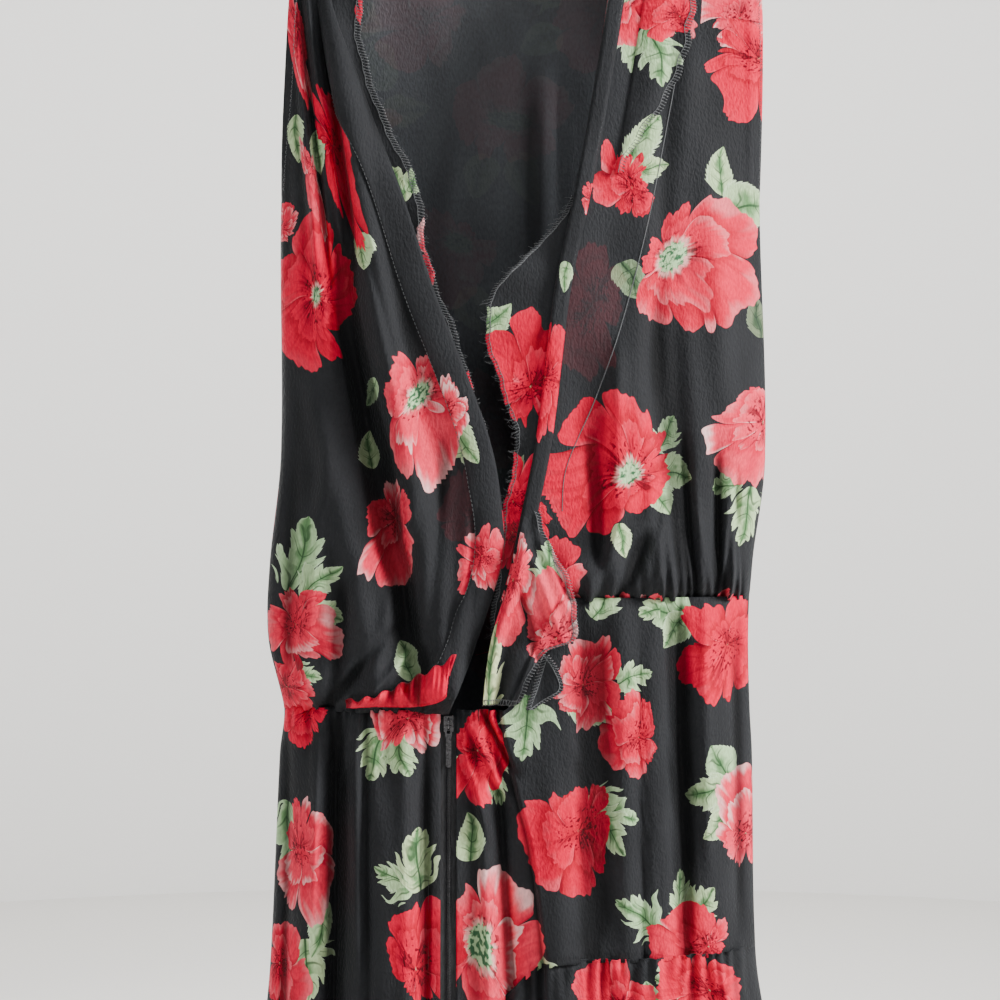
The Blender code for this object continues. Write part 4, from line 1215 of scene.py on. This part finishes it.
# %% hems and facings
Reach = namedtuple("Reach", "z left right")
FACING_REACH = in_metres(Reach, [
    (-112, 26, 0), (-156, 12, 0), (-200, 8, 0),
    (-255, 13, 1.5), (-285, 6, 15), (-315, 4.5, 38),
    (-343, 6, 40), (-372, 3, 29), (-411, 1, 13),
    (-450, 1, 12), (-500, 1, 6), (-540, 1, -3),
])
FACING_MOTIFS = placed([
    ("blossom_a", 4, -368, 44, 60, 0.02),
    ("blossom_b", -6, -468, 30, 30, 0.0, 0.6, 0.55),
    ("leaf_b", -2, -440, 28, 95, 0.6, 1.0, 0.3),
    ("leaf_a", -19, -585, 50, 82, 0.9),
    ("leaf_a", -23, -348, 30, 50, 0.2),
    ("leaf_b", -26, -350, 22, 10, 0.3),
    ("blossom_b", -50, -292, 26, 100, 0.65, 0.6),
    ("leaf_a", -70, -262, 26, 110, 0.5),
    ("leaf_b", -64, -256, 20, 80, 0.2),
    ("blossom_b", -90, -140, 22, 100, 0.1, 0.5),
    ("blossom_a", -4, -440, 30, 60, 0.05),
    ("blossom_b", 96, -142, 26, 60, 0.10),
    ("leaf_b", 84, -152, 40, 285, 0.1),
    ("leaf_a", 74, -245, 40, 70, 0.3),
    ("blossom_a", 64, -252, 24, 70, 0.06, 0.7),
    ("leaf_b", 72, -250, 34, 15, 0.1),
])
FLAP_MOTIFS = placed([
    ("blossom_a", 33, -520, 50, 200, 1.0, 0.8),
    ("blossom_b", -4, -506, 42, 90, 0.60, 0.5),
    ("leaf_a", 19, -500, 28, 88, 0.1),
    ("leaf_b", -17, -580, 62, 76, 1.0, 0.34),
])
RUFFLE_MOTIFS = placed([
    ("blossom_a", -70, -622, 125, 20, 0.0),
])


HEM_FROM_ROW, HEM_TO_ROW = 6, -4
FACING_LIES_IN, FACING_UNDERLAP = 0.0036, 0.012


def hem_rows(rows, height_at):
    """The hem's columns of a panel, lifted into a band or roll by a height across it, 0 to 1."""
    band = [row[:HEM_COLUMNS] for row in rows[HEM_FROM_ROW:HEM_TO_ROW]]
    return moved_out(band, lambda i, j: height_at(i / (len(band) - 1), j / (len(band[0]) - 1)))


def rolled(down, across):
    """A soft tube, fullest half way down and loosely twisted."""
    full = 0.0034 + 0.0014 * math.sin(9.0 * down) + 0.0008 * math.sin(23.0 * down + 1.0)
    return 0.0007 + full * math.sin(math.pi * (0.04 + 0.92 * across)) ** 0.6 * smooth(1.0, 0.9, down)


def turned_flat(down, across):
    """A flat turned band: a step up at both edges and a slight dip along its stitching."""
    edge = smooth(0.0, 0.10, across) * smooth(1.0, 0.93, across)
    dip = 0.0005 * math.exp(-((across - 0.80) / 0.06) ** 2)
    return 0.0006 + (0.0016 + 0.0003 * math.sin(31.0 * down)) * edge - dip


v_hem_left_rows = hem_rows(left_rows, rolled)
v_hem_right_rows = hem_rows([row[:BAND_COLUMNS] for row in right_rows], turned_flat)
v_hem_left = cloth("v_hem_left_roll", "v_hem_left", v_hem_left_rows, HEM_MOTIFS, reference=6)
v_hem_right = cloth("v_hem_right_band", "v_hem_right", v_hem_right_rows, HEM_MOTIFS, reference=4)


def facing_rows(side, heights, columns):
    """A facing behind a V edge, whose free edge shows past it and is a little frilled."""
    inward = -1 if side == 1 else 1
    rows = []
    for z in heights:
        v_edge = along(V_EDGES, z, side)
        start = v_edge + inward * FACING_UNDERLAP
        end = v_edge - inward * along(FACING_REACH, z, side)
        row = []
        for k, x in enumerate(spread(start, end, columns)):
            out = k / (columns - 1)
            frill = 0.0007 * math.sin(z * 190.0 + 3.0 * side) + 0.0003 * math.sin(z * 611.0)
            ripple = 0.0014 * math.sin(z * 190.0 + 14.0 * x) * out
            behind = Vector((0.0, FACING_LIES_IN + ripple, 0.0))
            row.append(near_bodice(x - inward * frill * out**3, z) + behind)
        rows.append(row)
    return rows


facing_left_rows = facing_rows(1, spread(-0.120, -0.405, 150), 22)
facing_right_rows = facing_rows(2, spread(-0.258, -0.540, 180), 40)
facing_left = cloth("facing_left_cloth", "facing_left", facing_left_rows, FACING_MOTIFS)
facing_right = cloth("facing_right_cloth", "facing_right", facing_right_rows, FACING_MOTIFS)

TURNBACK_TOP_Z, TURNBACK_FOOT_Z, TURNBACK_COLUMNS = -0.132, -0.245, 24


def turnback_width(z):
    """The folded-over stretch of the right facing narrows downwards and has a wavy edge."""
    return 0.030 * smooth(-0.255, -0.165, z) + 0.003 + 0.0010 * math.sin(z * 300.0)


def puffed(row, column):
    """A soft cushion of air under the fold."""
    return 0.0008 + 0.0030 * math.sin(math.pi * min(column / (TURNBACK_COLUMNS - 1), 0.92)) ** 0.7


turnback_rows = []
for z in spread(TURNBACK_TOP_Z, TURNBACK_FOOT_Z, 70):
    start = along(V_EDGES, z, 2) + V_HEM + 0.002
    turnback_rows.append([near_bodice(x, z)
                          for x in spread(start, start + turnback_width(z), TURNBACK_COLUMNS)])
turnback_rows = moved_out(turnback_rows, puffed)
turnback = cloth("facing_turnback_cloth", "facing_turnback", turnback_rows, FACING_MOTIFS)

# %% [markdown]
# ## The loose flap and the ruffle at the waist
# The right facing's lower end was never sewn down. It hangs out over the waist as a soft flap: a grid
# that stands off the bodice by a rolled left edge, slow waves and a few creases. A small corner of the
# wrong side has turned over below it. On the left the waist seam's free edge stands out as a frill, made
# as a narrow grid with a belly across it and puckers along it.

# %% the flap and its turned corner
FLAP_RIGHT = ((-0.455, 0.0145), (-0.475, 0.0210), (-0.495, 0.0325), (-0.512, 0.0368), (-0.534, 0.0365),
              (-0.541, 0.0200), (-0.560, 0.0090), (-0.574, 0.0020))
FLAP_TOP_Z, FLAP_FOOT_Z, FLAP_LIFT, FLAP_CLEAR = -0.455, -0.574, 0.006, 0.001
FLAP_COLUMNS = 66
FLAP_FOLDS = in_metres(Fold, [
    (6, -470, 33, -545, 3.4, 3.4),
    (14, -462, 38, -520, 2.6, -3),
    (0, -495, 18, -560, 3, -2.6),
    (26, -450, 37, -490, 3, 2.6),
])


def flap_lift(x, z, t, left):
    """How far the flap stands off, with t across it: a rolled left edge, waves and folds."""
    lift = FLAP_LIFT * smooth(-0.440, -0.500, z) * (0.75 + 0.25 * math.cos(8.4 * t))
    lift += 0.0014 * math.sin(9.0 * t + 40.0 * z) * smooth(-0.455, -0.490, z)
    lift += 0.0042 * math.exp(-((x - left - 0.0045) / 0.0036) ** 2) * smooth(-0.462, -0.480, z)
    return lift + fold_height(FLAP_FOLDS, x, z) + 0.0045 * smooth(-0.455, -0.475, z)


flap_rows = []
for z in spread(FLAP_TOP_Z, FLAP_FOOT_Z, 110):
    left = along(V_EDGES, z, 2) + 0.0015
    right = along(FLAP_RIGHT, z, 1) + 0.0006 * math.sin(z * 340.0)
    row = []
    for k, x in enumerate(spread(left, right, FLAP_COLUMNS)):
        under = min(near_y(x, z, False), near_y(x + 0.004, z, False), near_y(x, z + 0.004, False))
        lift = flap_lift(x, z, k / (FLAP_COLUMNS - 1), left)
        row.append(Vector((x, under - lift - FLAP_CLEAR, z)))
    flap_rows.append(row)
waist_flap = cloth("waist_flap_cloth", "waist_flap", flap_rows, FLAP_MOTIFS)

CORNER_EDGES = ((-0.5430, 0.0175, 0.0200), (-0.5520, 0.0145, 0.0262), (-0.5640, 0.0110, 0.0290),
                (-0.5700, 0.0085, 0.0200), (-0.5760, 0.0065, 0.0110))
CORNER_STANDS, CORNER_CURL, CORNER_WAVE = 0.0185, 0.0016, 0.0014
corner_rows = []
for z in spread(CORNER_EDGES[0][0], CORNER_EDGES[-1][0], 36):
    out = CORNER_STANDS + CORNER_CURL * math.sin(z * 150.0)
    ends = along(CORNER_EDGES, z, 1), along(CORNER_EDGES, z, 2)
    corner_rows.append([Vector((x, near_y(x, z, False) - out - CORNER_WAVE * math.sin(300.0 * x), z))
                        for x in spread(*ends, 30)])
facing_corner = cloth("facing_corner_cloth", None, corner_rows, [])

# %% the ruffle on the left of the waist
RUFFLE_LEFT_X, RUFFLE_LENGTH = -0.1050, 0.0690
RUFFLE_LEFT_Z, RUFFLE_RISE = -0.5725, 0.0300
RUFFLE_CLEAR, RUFFLE_BELLY, RUFFLE_COLUMNS = 0.0026, 0.0070, 190


def ruffle_point(t, down):
    """A point of the ruffle, t along it and down across it, each from 0 to 1."""
    x = RUFFLE_LEFT_X + RUFFLE_LENGTH * t - 0.0040 * smooth(0.9, 1.0, t) * down
    top = RUFFLE_LEFT_Z + RUFFLE_RISE * t**1.5 + 0.0014 * math.sin(t * 41.0) * (1.0 - down)
    wide = 0.0050 + 0.0175 * smooth(0.05, 0.90, t) - 0.0100 * smooth(0.86, 1.0, t) ** 2
    z = top - wide * down
    under = min(near_y(x + 0.002 * k, max(z, WAIST_LEFT_Z + 0.004)) for k in range(-2, 3))
    under -= 0.0045 * smooth(-0.070, -0.048, x)
    calm = (1.0 - 0.8 * down) * (1.0 - 0.85 * smooth(0.5, 0.8, t))
    pucker = 0.0016 * math.sin(t * 52.0 + 2.4 * math.sin(t * 9.0)) * calm
    pucker += 0.0006 * math.sin(t * 131.0 + 3.0 * down) * (1.0 - 0.7 * down)
    belly = RUFFLE_BELLY * math.sin(math.pi * min(1.1 * down, 1.0)) ** 0.7 * smooth(0.0, 0.25, t)
    return Vector((x, under - RUFFLE_CLEAR - belly + pucker, z))


ruffle_rows = [[ruffle_point(t, down) for t in spread(0.0, 1.0, RUFFLE_COLUMNS)]
               for down in spread(0.0, 1.0, 30)]
waist_ruffle = cloth("waist_ruffle_cloth", "waist_ruffle", ruffle_rows, RUFFLE_MOTIFS)

# %% [markdown]
# ## The skirt and its lower tier
# The first tier falls straight from the waist. On this side it is split at the zip, and the panel to the
# right of the zip laps forward. The lower tier is longer than its seam, so its gathers grow into deep
# folds towards the hem.

# %% skirt panels
def blend_to(x_of, share, t):
    """A column part of the way from a line on the skirt to a share of its width."""
    return lambda z: x_of(z) + (across_at(share, z) - x_of(z)) * t


def lap_column(offset):
    """A column that keeps its distance from the lapped edge of the right skirt panel."""
    return lambda z: along(LAP_X, z, 1) + offset


turns = [math.sin(math.pi / 2 * t) for t in spread(0.0, 1.0, 110)]
left_columns = [blend_to(lambda z: ZIP_LEFT_X, -1.0, turn) for turn in reversed(turns)]
lap_start = lap_column(-0.003)
inner = [lambda z, t=t: ZIP_RIGHT_X + (lap_start(z) - ZIP_RIGHT_X) * t for t in spread(0.0, 1.0, 36)]
step = [lap_column(offset) for offset in spread(-0.0024, 0.0034, 10)]
outer = [blend_to(lap_column(0.004), 1.0, turn) for turn in turns[::2] + turns[-1:]]
right_columns = inner + step + outer
skirt_left_rows = rows_between(left_columns, waist_near_z, tier_near_z, near_skirt, 80)
skirt_right_rows = rows_between(right_columns, waist_near_z, tier_near_z, near_skirt, 90)
skirt_near_left = cloth("skirt_near_left_cloth", "skirt_near_left", skirt_left_rows,
                        SKIRT_MOTIFS, reference=100)
skirt_near_right = cloth("skirt_near_right_cloth", "skirt_near_right", skirt_right_rows,
                         SKIRT_MOTIFS, reference=60)
skirt_far_rows = rows_between(far_columns, waist_far_z, tier_far_z, far_skirt, 80)
skirt_far = cloth("skirt_far_cloth", "skirt_far", skirt_far_rows, FAR_MOTIFS, outward=1)


# %% the gathered lower tier
def gather_height(gathers, across, depth):
    """Sum of the tier's large folds, deeper towards the hem."""
    total = sum(g.height * math.exp(-(((across - g.across) / g.width) ** 2)) for g in gathers)
    return total * (0.35 + 0.85 * depth)


def tier_rows(side, gathers, pleats, seam, count, columns):
    """Rows of one side of the lower tier, from its gathered seam to the hem."""
    flat = near_y if side < 0 else far_y
    rows = [[] for _ in range(count)]
    for share in angled(-1.0, 1.0, columns):
        column = at_share(share)
        top = crossing(column, seam) + SEAM_TUCK
        foot = crossing(column, hem_z)
        calm = 1.0 - smooth(0.86, 1.0, abs(share))
        for row, t in zip(rows, falling(0.0, 1.0, count, 1.5)):
            z = top + (foot - top) * t
            across = (share + 1) / 2 + 0.012 * math.sin(3.0 * t + 9.0 * share)
            full = along(OUTLINE, z, 3 if side < 0 else 4) * arch(share)
            full += gather_height(gathers, across, t) * calm
            at_seam = abs(flat(column(top), top, False))
            stand = at_seam + (full - at_seam) * smooth(0.0, 0.08, t)
            stand += pleat_height(pleats, column(top), top - z) * calm - seam_dip(top - SEAM_TUCK - z)
            stand += 0.0014 * math.sin(70.0 * across + 2.0 * math.sin(5.0 * t)) * t * calm
            row.append(Vector((column(z), side * max(stand, 0.0), z)))
    return rows


tier_near_rows = tier_rows(-1, NEAR_GATHERS, TIER_BELOW, tier_near_z, 170, 220)
tier_far_rows = tier_rows(1, FAR_GATHERS, TIER_BELOW, tier_far_z, 130, 180)
tier_near = cloth("tier_near_cloth", "tier_near", tier_near_rows, TIER_MOTIFS)
tier_far = cloth("tier_far_cloth", "tier_far", tier_far_rows, FAR_TIER_MOTIFS, outward=1)

# %% [markdown]
# ## Thread
# Cut edges on the real dress are overlocked: three threads loop over the edge in a narrow zigzag. The
# turned hems are topstitched in short dashes. Both are curve objects with a round section, made from
# the same rows of points as the cloth, so that they lie on it.

# %% thread helpers
def thread_finish():
    finish, n, shader = new_finish("black_thread", {"Sheen Weight": 0.3})
    place = n.put("ShaderNodeTexCoord").outputs["Object"]
    fuzz = n.noise(place, 2600.0, 2.0)
    n.feed(shader.inputs["Base Color"], n.blend(fuzz, linear(26, 27, 29), linear(104, 108, 112)))
    n.feed(shader.inputs["Roughness"], n.step(fuzz, 0.3, 0.7, 0.45, 0.7))
    return finish


THREAD = thread_finish()


def strands(name, runs, radius, sides=1, finish=THREAD):
    """Several runs of points as one curve object with a round section."""
    curve = bpy.data.curves.new(name, "CURVE")
    curve.dimensions = "3D"
    curve.bevel_depth = radius
    curve.bevel_resolution = sides
    curve.use_fill_caps = True
    for run in runs:
        spline = curve.splines.new("POLY")
        spline.points.add(len(run) - 1)
        for target, point in zip(spline.points, run):
            target.co = (*point, 1.0)
    curve.materials.append(finish)
    return hang(name, curve)


def edge_frame(rows, column, inner):
    """An edge's points, the way in from it across the cloth, and the way out of the cloth."""
    points = grid_of(rows)
    edge, beside = points[:, column], points[:, inner]
    way_in = beside - edge
    way_in /= np.linalg.norm(way_in, axis=1, keepdims=True)
    run = np.gradient(edge, axis=0)
    out = np.cross(run, way_in)
    out /= np.linalg.norm(out, axis=1, keepdims=True)
    out *= np.where(out[:, 1:2] > 0, -1.0, 1.0)
    return edge, way_in, out


def evenly(frame_of_edge, pitch):
    """The edge's frame read again at an even pitch along it."""
    edge = frame_of_edge[0]
    length = np.concatenate([[0.0], np.cumsum(np.linalg.norm(np.diff(edge, axis=0), axis=1))])
    places = np.arange(0.0, length[-1], pitch)
    return [np.stack([np.interp(places, length, part[:, k]) for k in range(3)], axis=1)
            for part in frame_of_edge]


def overlock(name, frame_of_edge, width=0.0036, pitch=0.0010):
    """A zigzag over the edge with a straight needle line along its inner side."""
    edge, way_in, out = evenly(frame_of_edge, pitch)
    zigzag = []
    for k, (point, inward, outward) in enumerate(zip(edge, way_in, out)):
        if k % 2:
            zigzag.append(point + inward * width + outward * 0.0003)
        else:
            zigzag.append(point - inward * 0.0004 + outward * 0.0005)
            zigzag.append(point - inward * 0.0005 - outward * 0.0009)
    needle = [point + inward * width + outward * (0.0004 if k % 3 else 0.0001)
              for k, (point, inward, outward) in enumerate(zip(edge, way_in, out))]
    return strands(name, [zigzag, needle], 0.00024)


def topstitch(name, frame_of_edge, inset, dash=0.0021, gap=0.0008):
    """Short dashes that sink into the cloth at both ends."""
    edge, way_in, out = evenly(frame_of_edge, (dash + gap) / 4)
    line = edge + way_in * inset
    runs = []
    for k in range(0, len(line) - 3, 4):
        heights = (-0.0003, 0.00025, 0.00025, -0.0003)
        runs.append([line[k + m] + out[k + m] * heights[m] for m in range(4)])
    return strands(name, runs, 0.00020)


def frayed(name, frame_of_edge, count, seed, reach):
    """Loose ends of yarn that stick out of a raw edge."""
    rng = np.random.default_rng(seed)
    edge, way_in, out = frame_of_edge
    runs = []
    for _ in range(count):
        k = int(rng.integers(1, len(edge) - 1))
        length = reach * rng.uniform(0.3, 1.0)
        run = edge[k] - edge[k - 1]
        run /= np.linalg.norm(run)
        lean = run * rng.uniform(-0.8, 0.8) * length
        bow = out[k] * rng.uniform(-0.3, 0.5) * length
        runs.append([edge[k] + way_in[k] * 0.0006,
                     edge[k] - way_in[k] * length * 0.5 + lean * 0.3 + bow,
                     edge[k] - way_in[k] * length + lean])
    return strands(name, runs, 0.00009, 0)


facing_left_edge = edge_frame(facing_left_rows, -1, -4)
facing_right_edge = edge_frame(facing_right_rows, -1, -4)
turnback_edge = edge_frame(turnback_rows, -1, -4)
flap_edge = edge_frame(flap_rows, -1, -4)
flap_foot = edge_frame(list(zip(*flap_rows)), -1, -4)
overlock("overlock_facing_left", facing_left_edge)
overlock("overlock_turnback", turnback_edge)
overlock("overlock_flap_side", flap_edge, 0.0030)
overlock("overlock_flap_foot", flap_foot, 0.0030)
overlock("overlock_facing_right", facing_right_edge, 0.0024)
for name, column, inner in (("left", 0, 4), ("right", -1, -4)):
    overlock("overlock_corner_" + name, edge_frame(corner_rows, column, inner), 0.0026)
frayed("frayed_facing_right", facing_right_edge, 90, 3, 0.0050)
frayed("frayed_facing_left", facing_left_edge, 60, 4, 0.0034)
topstitch("topstitch_v_left", edge_frame(v_hem_left_rows, -1, -4), 0.0002)
topstitch("topstitch_v_right", edge_frame(v_hem_right_rows, -1, -3), 0.0016)
strands("facing_ridge", [[facing_line(z) for z in spread(-0.100, -0.455, 240)]], 0.00032)
for name, rows in (("left", left_rows), ("right", right_rows)):
    armhole = [row for row in rows if row[-1].z > UNDERARM_Z]
    topstitch("topstitch_armhole_" + name, edge_frame(armhole, -1, -6), 0.0090)
print("thread pieces", sum(1 for item in bpy.data.objects if item.type == "CURVE"))

# %% [markdown]
# ## The invisible zip
# The tapes, slider and pull are measured solids already, so they keep their shape and only get finishes:
# a ribbed black tape and black enamel. The coil between the tapes is too fine for the solids. It is one
# wound thread, worked out by a loop.

# %% zip coil and zip finishes
ZIP_MIDDLE_X = (ZIP_LEFT_X + ZIP_RIGHT_X) / 2
ZIP_LENGTH = 0.205
COIL_TOP_GAP, COIL_PITCH, COIL_STEPS = 0.014, 0.0009, 6


def plain_finish(name, low, high, scale, roughness, metallic=0.0, stretch=(1.0, 1.0, 1.0)):
    """A finish whose colour and gloss drift with a stretched noise in the object's own space."""
    finish, n, shader = new_finish(name, {"Metallic": metallic})
    axes = n.split(n.put("ShaderNodeTexCoord").outputs["Object"])
    place = n.join(*(axis * share for axis, share in zip(axes, stretch)))
    grain = n.noise(place, scale, 3.0, 0.6)
    n.feed(shader.inputs["Base Color"], n.blend(n.step(grain, 0.35, 0.65), low, high))
    n.feed(shader.inputs["Roughness"], n.step(grain, 0.3, 0.7, roughness[0], roughness[1]))
    relief(n, shader, grain, 0.2, 0.0002)
    return finish


COIL = plain_finish("black_nylon_coil", linear(22, 22, 24), linear(44, 45, 48), 900.0, (0.35, 0.5))
TAPE = plain_finish("ribbed_zip_tape", linear(20, 20, 22), linear(46, 47, 50), 500.0, (0.75, 0.9),
                    stretch=(2.4, 1.0, 0.4))
ENAMEL = plain_finish("black_enamel", linear(74, 74, 77), linear(118, 118, 122), 500.0,
                      (0.05, 0.16), 0.85)
coil_run = []
for k in range(int(ZIP_LENGTH / COIL_PITCH) * COIL_STEPS):
    z = WAIST_LEFT_Z - COIL_TOP_GAP - k * COIL_PITCH / COIL_STEPS
    if z < WAIST_LEFT_Z - ZIP_LENGTH:
        break
    angle = 2 * math.pi * k / COIL_STEPS
    coil_run.append((ZIP_MIDDLE_X + 0.0013 * math.cos(angle),
                     near_y(ZIP_MIDDLE_X, z, False) + 0.0019 + 0.0008 * math.sin(angle), z))
strands("zip_coil", [coil_run], 0.00028, 1, COIL)
print("coil of", round(len(coil_run) / COIL_STEPS), "turns")


# %% finishes of the carried-over solids
WOOD = plain_finish("lacquered_beech", linear(176, 132, 88), linear(214, 176, 130), 60.0, (0.30, 0.48),
                    stretch=(0.25, 3.0, 3.0))
STEEL = plain_finish("bright_steel_wire", linear(176, 178, 182), linear(206, 208, 210), 240.0,
                     (0.16, 0.30), 1.0)

for node, finish in (("zip_tape_left", TAPE), ("zip_tape_right", TAPE), ("zip_slider", ENAMEL),
                     ("zip_bail", ENAMEL), ("zip_pull", ENAMEL), ("hanger_arms", WOOD),
                     ("hanger_socket", STEEL), ("hanger_hook", STEEL)):
    for place in frame["nodes"][node].material_slots:
        place.material = finish
print("carried-over solids have their finishes")

# %% [markdown]
# ## What each piece was cut to
# Cloth hardly stretches. Gathered pieces were cut wider than they hang. Narrow hems and turned ends are
# part of the pattern piece that they belong to.

# %% [markdown]
# ## Floor, studio wall and light
# The dress hangs in a plain round studio: a pale floor and one pale wall that curves all the way round,
# so that it has the same quiet ground from every side. One large soft light stands high on the right
# and rakes over the folds; weaker ones fill from the front and left, light the far side and wash the
# wall. The black cloth then shows its folds by shade and not by hard highlights.

# %% stage
HEM_ABOVE_FLOOR = 0.12
FLOOR_Z = frame_box[0][2] - HEM_ABOVE_FLOOR
WALL_RADIUS, WALL_HEIGHT, WALL_SIDES = 5.2, 5.6, 96


def stage_piece(name, make, colour):
    """A pale part of the studio, from a bmesh that make fills."""
    mesh = bpy.data.meshes.new(name)
    sheet = bmesh.new()
    make(sheet)
    sheet.to_mesh(mesh)
    sheet.free()
    mesh.shade_smooth()
    paint = new_finish(name + "_paint", {
        "Base Color": (*colour, 1.0), "Roughness": 0.85, "Specular IOR Level": 0.2})[0]
    mesh.materials.append(paint)
    piece = bpy.data.objects.new(name, mesh)
    piece.location.z = FLOOR_Z
    bpy.context.scene.collection.objects.link(piece)


def floor_shape(sheet):
    bmesh.ops.create_circle(sheet, cap_ends=True, segments=WALL_SIDES, radius=WALL_RADIUS)


def wall_shape(sheet):
    bmesh.ops.create_circle(sheet, cap_ends=False, segments=WALL_SIDES, radius=WALL_RADIUS)
    grown = bmesh.ops.extrude_edge_only(sheet, edges=sheet.edges[:])["geom"]
    top = [item for item in grown if isinstance(item, bmesh.types.BMVert)]
    bmesh.ops.translate(sheet, vec=(0.0, 0.0, WALL_HEIGHT), verts=top)


stage_piece("floor", floor_shape, linear(222, 220, 216))
stage_piece("studio_wall", wall_shape, linear(216, 215, 213))


def soft_light(name, place, aim, size, watts, colour):
    """A round lamp that faces its aim."""
    data = bpy.data.lights.new(name, "AREA")
    data.shape = "DISK"
    data.size = size
    data.energy = watts
    data.color = colour
    lamp = bpy.data.objects.new(name, data)
    lamp.location = place
    lamp.rotation_euler = (Vector(aim) - Vector(place)).to_track_quat("-Z", "Y").to_euler()
    bpy.context.scene.collection.objects.link(lamp)


soft_light("key", (2.1, -0.95, 0.5), (0.0, 0.0, -0.5), 0.9, 122.0, (1.0, 0.98, 0.97))
soft_light("front", (0.5, -2.6, 0.5), (0.0, 0.0, -0.6), 1.6, 24.0, (1.0, 1.0, 1.0))
soft_light("fill", (-1.9, -1.5, 0.0), (0.0, 0.0, -0.7), 1.4, 8.0, (0.96, 0.98, 1.0))
soft_light("far_side", (-1.7, 2.3, 0.6), (0.0, 0.0, -0.7), 1.2, 90.0, (1.0, 0.99, 0.97))
soft_light("wall_light", (0.0, 0.9, 1.8), (0.0, WALL_RADIUS, -0.2), 2.0, 380.0, (1.0, 1.0, 1.0))
world = bpy.data.worlds.new("studio")
world.use_nodes = True
plainly(world.node_tree.nodes["Background"], {"Color": (0.86, 0.88, 0.90, 1.0), "Strength": 0.05})
bpy.context.scene.world = world
print("floor at", round(FLOOR_Z, 3))
